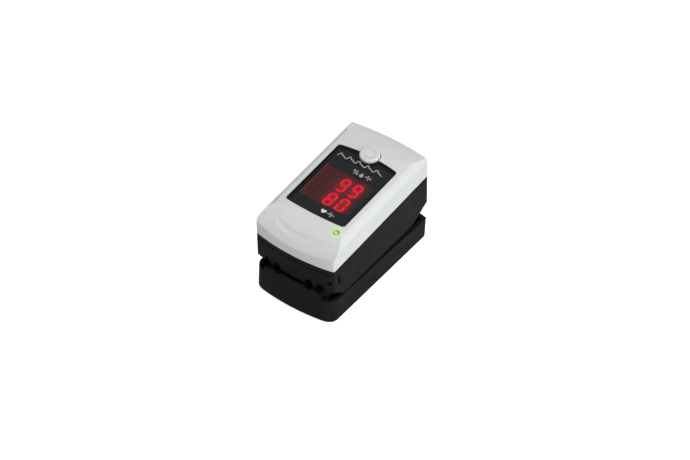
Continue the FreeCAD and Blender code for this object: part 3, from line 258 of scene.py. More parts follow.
screw_steel = metal("screw_steel", (0.56, 0.56, 0.57), 0.32)
spring_steel = metal("spring_steel", (0.62, 0.62, 0.62), 0.25, (600.0, 7000.0, 7000.0))
switch_steel = metal("switch_steel", (0.66, 0.66, 0.65), 0.34, (700.0, 7000.0, 700.0))
contact_metal = metal("contact_metal", (0.70, 0.67, 0.58), 0.28, (700.0, 700.0, 7000.0))
print("metals:", screw_steel.name, spring_steel.name, switch_steel.name, contact_metal.name)

# %% [markdown]
# ## The display
# Behind the window stands a block of red light-emitting segments. Lit segments glow, and
# their light spreads over the block's dull red face, most strongly close to them. A lamp
# behind each digit could light the face, but it would light the window's back as well.
# So the glow is painted light in the face's own material: a soft patch round each digit,
# made from distances in the face itself. The face is reddest at its left, and fades to the
# right, both in its colour and in a painted glow of its own.

# %% Level coordinates for the tilted half
def level_place(tree):
    """Object coordinates turned back to level, with zero on the seam."""
    place = add(tree, "ShaderNodeTexCoord")
    turn = add(tree, "ShaderNodeMapping", vector_type="TEXTURE", inputs={
        "Location": (0, 0, SEAM_HEIGHT), "Rotation": (REST_ANGLE, 0, 0)})
    split = add(tree, "ShaderNodeSeparateXYZ")
    wire(tree, (place, "Object", turn, "Vector"), (turn, 0, split, "Vector"))
    return turn, split


def math_node(tree, operation, first, second=None):
    """A math node on sockets or plain numbers, giving its output socket."""
    node = add(tree, "ShaderNodeMath", operation=operation)
    for index, value in enumerate((first, second)):
        if value is None:
            continue
        if hasattr(value, "is_output"):
            tree.links.new(value, node.inputs[index])
        else:
            node.inputs[index].default_value = value
    return node.outputs[0]


print("helpers for level coordinates are ready")

# %% Soft patches and sharp bands
# A patch has the shape of a bell curve, whose base is close to this number.
FALL = 2.718


def square(tree, value):
    """The square of a value that may be negative."""
    return math_node(tree, "POWER", math_node(tree, "ABSOLUTE", value), 2.0)


def near(tree, split, x, y, wide, high):
    """A soft patch: 1 at (x, y), falling smoothly to 0 outwards."""
    squares = []
    for axis, middle, reach in ((0, x, wide), (1, y, high)):
        offset = math_node(tree, "SUBTRACT", split.outputs[axis], middle)
        squares.append(square(tree, math_node(tree, "DIVIDE", offset, reach)))
    distance = math_node(tree, "ADD", *squares)
    return math_node(tree, "POWER", FALL, math_node(tree, "MULTIPLY", distance, -1.0))


def step_between(tree, value, low, high):
    """1 where the value lies between low and high."""
    above = math_node(tree, "GREATER_THAN", value, low)
    below = math_node(tree, "LESS_THAN", value, high)
    return math_node(tree, "MULTIPLY", above, below)


print("a patch falls to", round(1 / FALL, 2), "at its own width from the middle")

# %% The display's red face
DIGIT_COLUMNS = (0.0 * MM, 4.95 * MM)
DIGIT_ROWS = (0.5 * MM, -7.2 * MM)
GLOW_WIDE = 2.0 * MM
GLOW_HIGH = 3.2 * MM
display_low, display_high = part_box("display_module")
face_red, tree, shader = start_material("display_red_face", {
    "Roughness": 0.6, "Emission Strength": 1.0})
turn, split = level_place(tree)
glow = 0.0
for x in DIGIT_COLUMNS:
    for y in DIGIT_ROWS:
        glow = math_node(tree, "ADD", glow, near(tree, split, x, y, GLOW_WIDE, GLOW_HIGH))
mottle = add(tree, "ShaderNodeTexNoise", inputs={"Scale": 900.0, "Detail": 2.0})
tone = colour_mix(tree, (0.058, 0.008, 0.008), (0.070, 0.010, 0.010))
fade = colour_mix(tree, second=(0.026, 0.010, 0.014))
spread = add(tree, "ShaderNodeMapRange", inputs={
    "From Min": display_low.x, "From Max": display_high.x})
# Painted glow: the face gives out a red light of its own, strongest at its left.
shine = colour_mix(tree, (0.052, 0.002, 0.002), (0.006, 0.001, 0.003))
halo = colour_mix(tree, second=(0.42, 0.000, 0.004))
wire(tree, (turn, 0, mottle, "Vector"),
     (mottle, 0, tone, "Factor"), (tone, "Result", fade, "A"),
     (spread, 0, fade, "Factor"), (fade, "Result", shader, "Base Color"),
     (split, 0, spread, "Value"), (spread, 0, shine, "Factor"),
     (shine, "Result", halo, "A"), (halo, "Result", shader, "Emission Color"))
tree.links.new(glow, halo.inputs["Factor"])
print("the display is", round((display_high.x - display_low.x) / MM, 1), "mm wide")

# %% Lit and unlit segments
DIM = 0.8


def glowing(name, colour, light, roughness=0.4):
    """A segment that gives out its own light, a little unevenly."""
    material, tree, shader = start_material(name, {
        "Roughness": roughness, "Emission Strength": 1.0})
    place = add(tree, "ShaderNodeTexCoord")
    cloud = add(tree, "ShaderNodeTexNoise", inputs={"Scale": 1100.0, "Detail": 2.0})
    tone = colour_mix(tree, [part * DIM for part in light], light)
    ground = colour_mix(tree, colour, [part * DIM for part in colour])
    wire(tree, (place, "Object", cloud, "Vector"),
         (cloud, 0, tone, "Factor"), (tone, "Result", shader, "Emission Color"),
         (cloud, 0, ground, "Factor"), (ground, "Result", shader, "Base Color"))
    return material


lit_segment = glowing("lit_segment", (0.22, 0.006, 0.012), (1.12, 0.003, 0.034))
# Painted light: the unlit segments get a faint red glow of their own, and the chips a fainter
# pale one.
unlit_segment = glowing("unlit_segment", (0.066, 0.009, 0.009), (0.045, 0.002, 0.002))
light_chip = glowing("light_chip", (0.80, 0.78, 0.62), (0.02, 0.02, 0.015), 0.3)
print("segments:", lit_segment.name, unlit_segment.name, light_chip.name)

# %% [markdown]
# ## The status light
# A clear green light pipe comes up through the silver cover. The light stands right under
# its middle, so it is palest there and a deeper green at the rim, and a little of the
# green spills onto the paint round it. Clear plastic over a real lamp could do this, but
# at this size it would be slow and grainy. So the pipe's glow and the green pool on the
# paint are painted light, and both fade with the distance from the pipe's middle. The
# silver is also painted nearly black on the seat that the window is glued to: painted
# shade under the window. The seat and the window's back lie in one plane, and a pale seat
# would show through in patches.

# %% The green light pipe
CORE_SHIFT = (-0.15 * MM, 0.1 * MM)
CORE_SIZE = 0.6 * MM
pipe_low, pipe_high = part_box("status_light_pipe")
pipe_middle = to_upper.inverted() @ ((pipe_low + pipe_high) / 2)
light_green, tree, shader = start_material("green_light", {
    "Roughness": 0.2, "Emission Strength": 1.0})
turn, split = level_place(tree)
core = near(tree, split, pipe_middle.x + CORE_SHIFT[0], pipe_middle.y + CORE_SHIFT[1],
            CORE_SIZE, CORE_SIZE)
shine = colour_mix(tree, (0.085, 0.19, 0.015), (0.60, 0.84, 0.21))
cloud = add(tree, "ShaderNodeTexNoise", inputs={"Scale": 1500.0, "Detail": 2.0})
tone = colour_mix(tree, (0.09, 0.15, 0.03), (0.12, 0.20, 0.04))
wire(tree, (turn, 0, cloud, "Vector"), (cloud, 0, tone, "Factor"),
     (tone, "Result", shader, "Base Color"), (shine, "Result", shader, "Emission Color"))
tree.links.new(core, shine.inputs["Factor"])
print("the light pipe is", round((pipe_high.x - pipe_low.x) / MM, 1), "mm across")

# %% Painted green spill on the silver, and painted shade on the window's seat
# The lens's back lies on its seat, a little below this height.
SPILL_SIZE = 2.0 * MM
LENS_BACK = 8.45 * MM
SEAT_X = (-12.1 * MM, 12.1 * MM)
SEAT_Y = (-16.9 * MM, 15.6 * MM)
SEAT_Z = (8.0 * MM, LENS_BACK)
tree = silver.node_tree
shader = tree.nodes["Principled BSDF"]
paint = shader.inputs["Base Color"].links[0].from_socket
turn, split = level_place(tree)
spill = near(tree, split, pipe_middle.x, pipe_middle.y, SPILL_SIZE, SPILL_SIZE)
seat = 1.0
for side, limits in zip(split.outputs, (SEAT_X, SEAT_Y, SEAT_Z)):
    seat = math_node(tree, "MULTIPLY", seat, step_between(tree, side, *limits))
# Painted light: a pale green pool on the silver round the light pipe.
green_light_spill = colour_mix(tree, second=(0.60, 0.78, 0.42))
# Painted shade: the silver goes nearly black on the seat under the window.
seat_shade = colour_mix(tree, second=(0.012, 0.013, 0.013))
tree.links.new(paint, green_light_spill.inputs["A"])
tree.links.new(spill, green_light_spill.inputs["Factor"])
tree.links.new(seat, seat_shade.inputs["Factor"])
wire(tree, (green_light_spill, "Result", seat_shade, "A"), (seat_shade, "Result", shader, "Base Color"))
print("the window's seat is", round((SEAT_Y[1] - SEAT_Y[0]) / MM, 1), "mm long")

# %% [markdown]
# ## The window
# The window is a smoked plastic lens. Its outer face is evenly smoked: a third of what is
# seen there is the lens itself. Its underside is printed dark, apart from a rectangle
# over the display, and along that rectangle's left side a thin pale line is a painted
# highlight, where the edge of the print catches the light. Its walls are dull and painted
# nearly black, as painted shade in the narrow gap round the window. Separate skins could
# carry the print and the line, but faces that lie so close together show through each
# other. So one material does it all, because it can tell the outer face from the rest by
# how deep a point lies under the crown.

# %% Where the lens is clear, printed or wall
SKIN = 0.06 * MM
OPENING_X = (-9.75 * MM, 9.9 * MM)
OPENING_Y = (-10.45 * MM, 5.85 * MM)
LINE_X = (-10.25 * MM, OPENING_X[0])
lens, tree, shader = start_material("smoked_lens", {"Specular IOR Level": 0.08})
turn, split = level_place(tree)
across, along, height = split.outputs
within = step_between(tree, along, *OPENING_Y)
opening = math_node(tree, "MULTIPLY", within, step_between(tree, across, *OPENING_X))
line = math_node(tree, "MULTIPLY", within, step_between(tree, across, *LINE_X))
sag = math_node(tree, "DIVIDE", square(tree, across), 2 * CROWN_RADIUS)
flattened = math_node(tree, "ADD", height, sag)
below = math_node(tree, "LESS_THAN", flattened, CROWN_TOP - SKIN)
masked = math_node(tree, "SUBTRACT", 1.0, opening)
wall = math_node(tree, "MULTIPLY", below, math_node(tree, "GREATER_THAN", height, LENS_BACK))
print("the opening is", round((OPENING_Y[1] - OPENING_Y[0]) / MM, 2), "mm high")

# %% The lens's smoke, tones, painted shade and highlight, and polish
SMOKE = 0.35
WALL_ROUGHNESS = 0.8
clearness = add(tree, "ShaderNodeMix", inputs={"A": SMOKE})
marks = add(tree, "ShaderNodeGroup", node_tree=handled)
tone = colour_mix(tree, (0.0205, 0.0228, 0.0228), (0.0235, 0.0258, 0.0258))
print_tone = colour_mix(tree, second=(0.0330, 0.0365, 0.0365))
# Painted shade: the lens's walls go nearly black, as in the narrow gap round a window.
wall_shade = colour_mix(tree, second=(0.0020, 0.0022, 0.0022))
# Painted highlight: a thin pale line along the left edge of the print.
edge = colour_mix(tree, second=(0.20, 0.075, 0.085))
polish = add(tree, "ShaderNodeMapRange", inputs={"To Min": 0.10, "To Max": 0.16})
lit_line = math_node(tree, "MULTIPLY", below, line)
dull_wall = math_node(tree, "MULTIPLY", wall, WALL_ROUGHNESS)
roughness = math_node(tree, "MAXIMUM", polish.outputs[0], dull_wall)
for mask, target, socket in ((below, clearness, "Factor"), (masked, clearness, "B"),
                             (below, print_tone, "Factor"), (wall, wall_shade, "Factor"),
                             (lit_line, edge, "Factor"), (roughness, shader, "Roughness")):
    tree.links.new(mask, target.inputs[socket])
wire(tree, (clearness, "Result", shader, "Alpha"),
     (marks, "Mask", tone, "Factor"), (tone, "Result", print_tone, "A"),
     (print_tone, "Result", wall_shade, "A"), (wall_shade, "Result", edge, "A"),
     (edge, "Result", shader, "Base Color"), (marks, "Mask", polish, "Value"))
print("the outer face hides", SMOKE, "of what is behind it")

# %% [markdown]
# ## Boards, cells and film
# Inside are green circuit boards, two dry cells in plain sleeves and an amber ribbon with
# copper lines. They show when the door is off or the clip is open, so they get real
# finishes. Tracks, sleeve bands and copper lines could be pieces of their own, but they
# are only a few hundredths of a millimetre thick, so each is a pattern in its material.

# %% Circuit board
board_green, tree, shader = start_material("circuit_board", {"Roughness": 0.32})
place = add(tree, "ShaderNodeTexCoord")
tracks = add(tree, "ShaderNodeTexBrick", offset=0.5, inputs={
    "Scale": 420.0, "Mortar Size": 0.035, "Brick Width": 1.7, "Row Height": 0.33,
    "Color1": (0.010, 0.090, 0.036, 1), "Color2": (0.014, 0.115, 0.046, 1),
    "Mortar": (0.030, 0.20, 0.085, 1)})
relief = add(tree, "ShaderNodeBump", inputs={"Strength": 0.3, "Distance": 0.03 * MM})
wire(tree, (place, "Object", tracks, "Vector"), (tracks, "Color", shader, "Base Color"),
     (tracks, "Fac", relief, "Height"), (relief, 0, shader, "Normal"))
print("circuit board has", len(tree.nodes), "nodes")

# %% Cell sleeves: a blue body, a pale shoulder and bare ends
# Each band starts at a share of the cell's length, and has a colour and a metallic level.
SLEEVE_BANDS = (
    (0.0, (0.50, 0.50, 0.50), 1.0),
    (0.022, (0.018, 0.060, 0.120), 0.0),
    (0.74, (0.56, 0.57, 0.56), 0.0),
    (0.965, (0.55, 0.55, 0.55), 1.0))


def banded_ramp(tree, starts, colours):
    """A ramp that changes at once from band to band."""
    node = add(tree, "ShaderNodeValToRGB")
    ramp = node.color_ramp
    ramp.interpolation = "CONSTANT"
    while len(ramp.elements) < len(starts):
        ramp.elements.new(0.5)
    for element, start in zip(ramp.elements, starts):
        element.position = start
    for element, colour in zip(ramp.elements, colours):
        element.color = (*colour, 1)
    return node


def cell_sleeve(name, node, shoulder_at_mouth):
    """A dry cell's plain sleeve, banded along its length."""
    low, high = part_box(node)
    starts, colours, metallic = zip(*SLEEVE_BANDS)
    material, tree, shader = start_material(name, {"Roughness": 0.3})
    place = add(tree, "ShaderNodeTexCoord")
    split = add(tree, "ShaderNodeSeparateXYZ")
    run = add(tree, "ShaderNodeMapRange", inputs={"From Min": low.y, "From Max": high.y})
    if not shoulder_at_mouth:
        run.inputs["To Min"].default_value = 1.0
        run.inputs["To Max"].default_value = 0.0
    bands = banded_ramp(tree, starts, colours)
    shine = banded_ramp(tree, starts, [(level, level, level) for level in metallic])
    wire(tree, (place, "Object", split, "Vector"), (split, 1, run, "Value"),
         (run, 0, bands, "Fac"), (run, 0, shine, "Fac"),
         (bands, "Color", shader, "Base Color"), (shine, "Color", shader, "Metallic"))
    print(name, "is", round((high.y - low.y) / MM, 1), "mm long")
    return material


sleeve_left = cell_sleeve("cell_sleeve_left", "battery_left", True)
sleeve_right = cell_sleeve("cell_sleeve_right", "battery_right", False)

# %% The ribbon's film: copper lines under amber
RIBBON_HALF = 2.0 * MM
COPPER_PITCH = 0.5 * MM
COPPER_CUT = 0.1
ribbon_film = plastic("ribbon_film", (0.40, 0.16, 0.02), (0.46, 0.20, 0.03), 0.25,
                      grain_size=900.0, bump=0.05, specular=0.6)
tree = ribbon_film.node_tree
shader = tree.nodes["Principled BSDF"]
amber = shader.inputs["Base Color"].links[0].from_socket
place = add(tree, "ShaderNodeTexCoord")
split = add(tree, "ShaderNodeSeparateXYZ")
wire(tree, (place, "Object", split, "Vector"))
phase = math_node(tree, "MULTIPLY", split.outputs[0], math.tau / COPPER_PITCH)
lines = math_node(tree, "GREATER_THAN", math_node(tree, "SINE", phase), COPPER_CUT)
copper = colour_mix(tree, second=(0.62, 0.30, 0.10))
tree.links.new(amber, copper.inputs["A"])
tree.links.new(lines, copper.inputs["Factor"])
wire(tree, (copper, "Result", shader, "Base Color"))
print("the ribbon has about", round(2 * RIBBON_HALF / COPPER_PITCH), "copper lines")

# %% [markdown]
# ## Dress the solid parts
# Each solid part keeps its own shape and gets its finish here. The finishes could be set
# one by one where they are made, but one list by name shows at a glance what every part
# is made of, and shows if one was forgotten.

# %% Assign the finishes
finishes = {
    "top_cover": silver,
    "display_window": lens,
    "status_light_pipe": light_green,
    "status_light_chip": light_chip,
    "power_button": button_grey,
    "switch_plunger": chip_black,
    "tactile_switch": switch_steel,
    "display_module": face_red,
    "display_digits": lit_segment,
    "pulse_bar": unlit_segment,
    "main_board": board_green,
    "board_screws": screw_steel,
    "board_chips": chip_black,
    "upper_housing": black,
    "cover_screws": screw_steel,
    "emitter_board": board_green,
    "emitter_lights": light_chip,
    "upper_finger_pad": pad_rubber,
    "lower_housing": black,
    "battery_door": black,
    "lower_frame": black,
    "lower_finger_pad": pad_rubber,
    "detector_board": board_green,
    "photodiode": light_chip,
    "battery_left": sleeve_left,
    "battery_right": sleeve_right,
    "battery_contacts": contact_metal,
    "battery_bridge": contact_metal,
    "hinge_pin": screw_steel,
    "frame_screws": screw_steel,
    "torsion_spring_left": spring_steel,
    "torsion_spring_right": spring_steel,
    "link_ribbon": ribbon_film,
}
for name, finish in finishes.items():
    part = nodes[name]
    part.data.materials.clear()
    part.data.materials.append(finish)
print(len(finishes), "parts dressed;", sorted(set(nodes) - set(finishes)), "left")

# %% [markdown]
# ## The lit digits
# A seven-segment digit is up to seven short bars laid round a figure eight. Each bar is
# a flat outline of six points, pointed at both ends, so that two bars can meet at a
# corner with an even gap. It is pushed up to its thickness, and then all its edges are
# rounded. Typed text would be quicker, but no typeface has these bars and gaps.

# %% Turn mesh data into a finished piece
def keep_piece(bm, name, finish):
    """Keep closed mesh data as an object with its finish."""
    bmesh.ops.recalc_face_normals(bm, faces=bm.faces)
    open_edges = sum(1 for edge in bm.edges if not edge.is_manifold)
    mesh = bpy.data.meshes.new(name)
    bm.to_mesh(mesh)
    bm.free()
    mesh.materials.append(finish)
    piece = bpy.data.objects.new(name, mesh)
    bpy.context.scene.collection.objects.link(piece)
    print(name, "has", len(mesh.polygons), "faces and", open_edges, "open edges")
    return piece


def keep_on_upper(bm, name, finish):
    """Tilt level mesh data into place, and let it ride on the upper half."""
    bmesh.ops.transform(bm, matrix=to_upper, verts=bm.verts)
    piece = keep_piece(bm, name, finish)
    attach(piece, "upper_half")
    return piece


def raise_faces(bm, faces, height):
    """Push flat faces up to a closed slab of the given height."""
    grown = bmesh.ops.extrude_face_region(bm, geom=faces)["geom"]
    lifted = [part for part in grown if isinstance(part, bmesh.types.BMVert)]
    bmesh.ops.translate(bm, vec=(0, 0, height), verts=lifted)


print("helpers for new pieces are ready")

# %% The shape of a digit
# Width and height are measured between the middles of the outer bars.
BAR_WIDTH = 0.85 * MM
DIGIT_WIDE = 3.4 * MM - BAR_WIDTH
DIGIT_HIGH = 6.5 * MM - BAR_WIDTH
DIGIT_LEAN = math.tan(math.radians(2.5))
CORNERS = {"a": (-0.5, 0.5), "b": (0.5, 0.5), "c": (-0.5, 0.0), "d": (0.5, 0.0),
           "e": (-0.5, -0.5), "f": (0.5, -0.5)}
BARS = {"nine": ("ab", "ac", "bd", "cd", "df", "ef"),
        "eight": ("ab", "ac", "bd", "cd", "ce", "df", "ef"),
        "zero": ("ab", "ac", "bd", "ce", "df", "ef")}
print("a digit has up to", max(len(bars) for bars in BARS.values()), "bars")

# %% The digits' bars
FACE_HEIGHT = 8.05 * MM
BAR_HEIGHT = 0.22 * MM
BAR_GAP = 0.07 * MM
BAR_ROUND = 0.08 * MM


def bar(bm, start, end):
    """One pointed bar of a digit between two corners."""
    run = (end - start).normalized()
    side = Vector((-run.y, run.x)) * BAR_WIDTH / 2
    tip = run * BAR_WIDTH / 2
    start = start + run * BAR_GAP
    end = end - run * BAR_GAP
    rim = (start, start + tip - side, end - tip - side, end, end - tip + side,
           start + tip + side)
    face = bm.faces.new([bm.verts.new((*point, FACE_HEIGHT)) for point in rim])
    raise_faces(bm, [face], BAR_HEIGHT)


def digit(bm, kind, x, y):
    """All the bars of one digit round its middle."""
    for ends in BARS[kind]:
        points = []
        for end in ends:
            across, along = CORNERS[end]
            lean = along * DIGIT_HIGH * DIGIT_LEAN
            points.append(Vector((x + across * DIGIT_WIDE + lean, y + along * DIGIT_HIGH)))
        bar(bm, *points)


bm = bmesh.new()
for kinds, y in zip((("nine", "nine"), ("eight", "zero")), DIGIT_ROWS):
    for kind, x in zip(kinds, DIGIT_COLUMNS):
        digit(bm, kind, x, y)
bmesh.ops.bevel(bm, geom=bm.edges[:], offset=BAR_ROUND, affect="EDGES", segments=2,
                profile=0.5, material=-1)
digits = keep_on_upper(bm, "lit_digits", lit_segment)
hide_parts("display_digits")

# %% [markdown]
# ## Printing on the window
# Plain marks are printed on the outside of the window: a pulse wave across the top, a
# percent mark, a drop and a beat over the upper number, and a heart and a beat under the
# lower one. They could be drawn in the window's material, but each would need a formula
# of its own there. So each mark is a thin skin of ink, a few hundredths of a millimetre
# thick, that follows the window's crown. A line is a ribbon of even width along a few
# points, with its corners mitred, and a solid mark is one outline, filled and then
# thickened.

# %% Ribbons, outlines and ink
INK_HEIGHT = 0.05 * MM
INK_SINK = 0.01 * MM
MITRE_LIMIT = 0.5


def ribbon(bm, points, width, closed=False):
    """A flat line of even width along level points."""
    count = len(points)
    rails = []
    for index, point in enumerate(points):
        before = points[index - 1] if index or closed else point
        after = points[(index + 1) % count] if index + 1 < count or closed else point
        arrive = (point - before) if before != point else (after - point)
        leave_by = (after - point) if after != point else arrive
        run = (arrive.normalized() + leave_by.normalized()).normalized()
        side = Vector((-run.y, run.x))
        straight = Vector((-arrive.y, arrive.x)).normalized()
        reach = side * width / 2 / max(side.dot(straight), MITRE_LIMIT)
        rails.append((bm.verts.new((*(point + reach), 0)), bm.verts.new((*(point - reach), 0))))
    for index in range(count if closed else count - 1):
        (left, right), (left_on, right_on) = rails[index], rails[(index + 1) % count]
        bm.faces.new((left, right, right_on, left_on))


def outline(bm, points):
    """A flat filled shape inside level points."""
    face = bm.faces.new([bm.verts.new((*point, 0)) for point in points])
    bmesh.ops.triangulate(bm, faces=[face])


def ink_piece(bm, name, finish):
    """Thicken flat marks to a skin of ink that follows the window's crown."""
    raise_faces(bm, bm.faces[:], INK_HEIGHT)
    for vert in bm.verts:
        vert.co.z += crown_height(vert.co.x) - INK_SINK
    return keep_on_upper(bm, name, finish)


def moved(points, x, y, size=MM):
    """Points (across, along) scaled and set round a place."""
    return [Vector((x + across * size, y + along * size)) for across, along in points]


print("ink is", INK_HEIGHT / MM, "mm thick")

# %% The marks' outlines and inks
def angles(count):
    """Even steps round a full turn."""
    return [math.tau * step / count for step in range(count)]


def drop_point(angle):
    """A point of a drop with its tip up, two units high."""
    return math.sin(angle) * math.sin(angle / 2) ** 1.5, math.cos(angle)


def heart_point(angle):
    """A point of the heart curve, two units wide."""
    height = (13 * math.cos(angle) - 5 * math.cos(2 * angle) - 2 * math.cos(3 * angle)
              - math.cos(4 * angle))
    return math.sin(angle) ** 3, height / 16


PULSE = ((0.0, -0.72), (0.25, -0.5), (0.5, 0.2), (0.72, 0.68), (0.95, 0.8), (1.22, 0.66),
         (1.5, 0.24), (1.72, -0.06), (1.95, -0.12), (2.2, -0.02), (2.45, -0.12), (2.8, -0.42),
         (3.2, -0.64))
BEAT = ((0.0, 0.0), (0.6, 0.0), (1.0, 0.95), (1.45, -0.9), (1.8, 0.45), (2.05, 0.0), (2.6, 0.0))
SLASH = ((-0.45, -1.0), (0.45, 1.0))
RING = [(math.cos(angle), math.sin(angle)) for angle in angles(count=14)]
DROP = [drop_point(angle) for angle in angles(count=24)]
HEART = [heart_point(angle) for angle in angles(count=32)]
grey_ink = plastic("grey_ink", (0.35, 0.35, 0.35), (0.31, 0.31, 0.32), 0.55, bump=0.1,
                   specular=0.2)
white_ink = plastic("white_ink", (0.68, 0.58, 0.62), (0.63, 0.54, 0.58), 0.55, bump=0.1,
                    specular=0.2)
print("inks:", grey_ink.name, white_ink.name)

# %% The pulse wave
WAVE_START = -9.4 * MM
WAVE_Y = 10.8 * MM
WAVE_STEP = 3.66 * MM
WAVE_BEATS = 5
WAVE_LINE = 0.34 * MM
bm = bmesh.new()
wave = []
for beat in range(WAVE_BEATS):
    wave += moved(PULSE, WAVE_START + beat * WAVE_STEP, WAVE_Y)
wave += moved(PULSE[:1], WAVE_START + WAVE_BEATS * WAVE_STEP, WAVE_Y)
ribbon(bm, wave, WAVE_LINE)
ink_piece(bm, "pulse_wave_print", grey_ink)

# %% Percent mark, drop and beat
PERCENT_AT = (0.7 * MM, 6.8 * MM)
SLASH_LINE = 0.26 * MM
RING_OUT = 0.75 * MM
RING_UP = 0.5 * MM
RING_SIZE = 0.36 * MM
RING_LINE = 0.24 * MM
DROP_AT = (3.1 * MM, 6.7 * MM)
UPPER_BEAT_AT = (4.4 * MM, 6.7 * MM)
UPPER_BEAT_LINE = 0.3 * MM
bm = bmesh.new()
ribbon(bm, moved(SLASH, *PERCENT_AT), SLASH_LINE)
for side in (-1, 1):
    ring_at = (PERCENT_AT[0] + RING_OUT * side, PERCENT_AT[1] - RING_UP * side)
    ribbon(bm, moved(RING, *ring_at, RING_SIZE), RING_LINE, closed=True)
outline(bm, moved(DROP, *DROP_AT))
ribbon(bm, moved(BEAT, *UPPER_BEAT_AT), UPPER_BEAT_LINE)
ink_piece(bm, "percent_and_drop_print", grey_ink)

# %% Heart and beat
HEART_AT = (2.3 * MM, -14.0 * MM)
HEART_SIZE = 1.05 * MM
LOWER_BEAT_AT = (3.9 * MM, -14.1 * MM)
LOWER_BEAT_LINE = 0.36 * MM
bm = bmesh.new()
outline(bm, moved(HEART, *HEART_AT, HEART_SIZE))
ink_piece(bm, "heart_print", white_ink)

bm = bmesh.new()
ribbon(bm, moved(BEAT, *LOWER_BEAT_AT), LOWER_BEAT_LINE)
ink_piece(bm, "beat_print", grey_ink)

# %% [markdown]
# ## The ribbon between the boards
# A flat cable joins the two boards beside the hinge, so it bends when the clip opens. The
# solid model holds a stiff strip there, which would pass through the upper half as it
# tilts. This piece takes its place on the same path. A curve with a flat profile could
# follow the path too, but it might twist on the way. So one flat end face is extruded
# from step to step, and each step carries it to the next place, square to the path. The
# piece keeps this one shape and rides on neither half, and the short steps of its bend
# turn smoothly.

# %% The ribbon's path
RIBBON_THICK = 0.2 * MM
BEND = 1.1 * MM
BEND_STEPS = 6
FREE_STEPS = 20
RISE_IN = 1.0 * MM
KNEE_DROP = 2.3 * MM
TOP_BACK = 0.9 * MM
TOP_GAP = 0.05 * MM
ribbon_low, ribbon_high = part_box("link_ribbon")
floor_z = ribbon_low.z + RIBBON_THICK / 2
rise_y = ribbon_low.y + RISE_IN
knee_z = ribbon_high.z - KNEE_DROP
path = [Vector((ribbon_high.y, floor_z))]
for step in range(BEND_STEPS + 1):
    turned = math.radians(90 * step / BEND_STEPS)
    path.append(Vector((rise_y + BEND * (1 - math.sin(turned)),
                        floor_z + BEND * (1 - math.cos(turned)))))
for step in range(1, FREE_STEPS + 1):
    climb = (knee_z - floor_z - BEND) * step / FREE_STEPS
    path.append(Vector((rise_y, floor_z + BEND + climb)))
path.append(Vector((rise_y - TOP_BACK, ribbon_high.z - TOP_GAP)))
ribbon_long = sum((after - before).length for before, after in zip(path, path[1:]))
print("the ribbon is", round(ribbon_long / MM, 1), "mm long")


def ring_place(index):
    """The place and turn that set the ribbon's end square to its path at one step."""
    run = path[min(index + 1, len(path) - 1)] - path[max(index - 1, 0)]
    turn = Matrix.Rotation(math.atan2(run.y, run.x), 4, "X")
    return Matrix.Translation((0, *path[index])) @ turn


bm = bmesh.new()
end = bm.faces.new([bm.verts.new((x * RIBBON_HALF, 0, side * RIBBON_THICK / 2))
                    for x, side in ((-1, -1), (1, -1), (1, 1), (-1, 1))])
bmesh.ops.transform(bm, matrix=ring_place(0), verts=bm.verts)
for index in range(1, len(path)):
    grown = bmesh.ops.extrude_face_region(bm, geom=[end])["geom"]
    # The first face closes the lower end. A later one would stay as a wall inside.
    if index > 1:
        bmesh.ops.delete(bm, geom=[end], context="FACES_ONLY")
    end = [part for part in grown if isinstance(part, bmesh.types.BMFace)][0]
    onward = ring_place(index) @ ring_place(index - 1).inverted()
    bmesh.ops.transform(bm, matrix=onward, verts=end.verts)
flex = keep_piece(bm, "flex_ribbon", ribbon_film)
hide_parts("link_ribbon")
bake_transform(flex)

# %% [markdown]
# ## The table and the light
# The device stands on a plain white table. More light could turn a grey floor white, but
# it would wash out the silver too. So the floor is brighter to the camera than to the
# object, through Light Path, and a little brighter in mirror-like rays, so that gloss
# shows it. The sky is white to the camera in the same way. Three square lamps light the
# object: a large one high up, one on its right side and a faint one towards its tail.

# %% Floor
FLOOR_SIZE = 6.0
SEEN_GLOW = 0.8
MIRRORED_GLOW = 0.15
bpy.ops.mesh.primitive_plane_add(size=FLOOR_SIZE, location=(0, 0, 0))
floor = bpy.context.object
floor.name = "floor"
table, tree, shader = start_material("white_table", {
    "Base Color": (0.80, 0.80, 0.80, 1), "Roughness": 0.9, "Specular IOR Level": 0.0,
    "Emission Color": (1, 1, 1, 1)})
rays = add(tree, "ShaderNodeLightPath")
mirror_rays = math_node(tree, "MAXIMUM", rays.outputs["Is Glossy Ray"],
                        rays.outputs["Is Transmission Ray"])
seen = math_node(tree, "MULTIPLY", rays.outputs["Is Camera Ray"], SEEN_GLOW)
mirrored = math_node(tree, "MULTIPLY", mirror_rays, MIRRORED_GLOW)
tree.links.new(math_node(tree, "ADD", seen, mirrored), shader.inputs["Emission Strength"])
floor.data.materials.append(table)
print("floor at", floor.location.z)

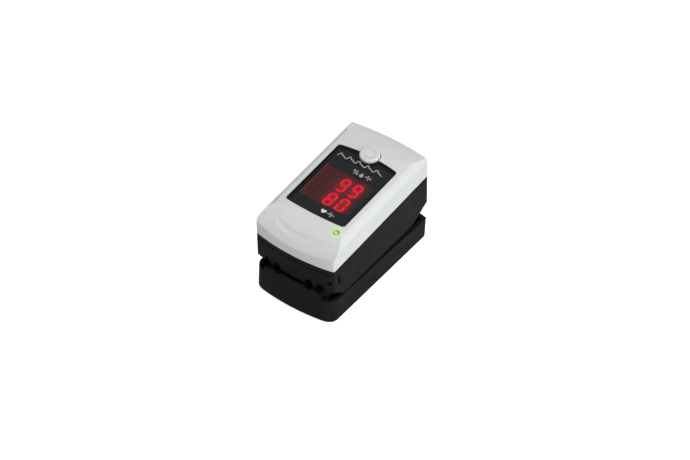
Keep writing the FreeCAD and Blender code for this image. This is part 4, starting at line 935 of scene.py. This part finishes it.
# %% Sky
SKY_LIGHT = 0.17
world = bpy.data.worlds.new("studio")
bpy.context.scene.world = world
world.use_nodes = True
tree = world.node_tree
sky = tree.nodes["Background"]
sky.inputs["Color"].default_value = (1, 1, 1, 1)
rays = add(tree, "ShaderNodeLightPath")
seen = math_node(tree, "MAXIMUM", rays.outputs["Is Camera Ray"],
                 rays.outputs["Is Transmission Ray"])
level = add(tree, "ShaderNodeMapRange", inputs={"To Min": SKY_LIGHT, "To Max": 1.0})
tree.links.new(seen, level.inputs["Value"])
tree.links.new(level.outputs[0], sky.inputs["Strength"])
print("sky gives", SKY_LIGHT, "to the object")

# %% Lamps
def lamp(name, place, aim, size, power):
    """A square soft box at place, turned to aim, all in metres."""
    data = bpy.data.lights.new(name, "AREA")
    data.shape = "SQUARE"
    data.size = size
    data.energy = power
    box = bpy.data.objects.new(name, data)
    bpy.context.scene.collection.objects.link(box)
    box.location = place
    box.rotation_euler = (Vector(aim) - Vector(place)).to_track_quat("-Z", "Y").to_euler()
    return box


centre = (0, 0, 0.018)
key = lamp("key", (1.1, -0.28, 0.52), centre, 0.9, 10.0)
overhead = lamp("overhead", (0.2, 0.02, 1.3), centre, 1.2, 13.6)
front = lamp("front", (0.9, -1.0, 0.35), centre, 0.7, 0.3)
print("lamps:", key.data.energy, overhead.data.energy, front.data.energy, "W")

# %% [markdown]
# ## The camera
# A long lens a metre away looks down at the clip from its tail and right side. A shorter
# lens close by could frame it as well, but it would make the near end look too large.
# The camera is placed from three angles round one target: swing, rise and a slight roll.

# %% Camera
TARGET = Vector((1.589 * MM, -0.263 * MM, 16.0 * MM))
SWING = math.radians(33.5)
RISE = math.radians(43.0)
ROLL = math.radians(2.86)
DISTANCE = 1.0
LENS = 154.3
back = Vector((math.sin(SWING) * math.cos(RISE), -math.cos(SWING) * math.cos(RISE),
               math.sin(RISE)))
right = Vector((math.cos(SWING), math.sin(SWING), 0))
up = back.cross(right)
level_view = Matrix((right, up, back)).transposed()
lens_data = bpy.data.cameras.new("camera")
lens_data.sensor_width = 36.0
lens_data.lens = LENS
lens_data.clip_end = 20.0
camera = bpy.data.objects.new("camera", lens_data)
bpy.context.scene.collection.objects.link(camera)
camera.matrix_world = (Matrix.Translation(TARGET + back * DISTANCE)
                       @ level_view.to_4x4() @ Matrix.Rotation(ROLL, 4, "Z"))
bpy.context.scene.camera = camera
bpy.context.scene.view_settings.view_transform = "Standard"
print("lens", round(lens_data.lens, 1), "mm at", DISTANCE, "m")

# %% Finish
print("the scene is set up")
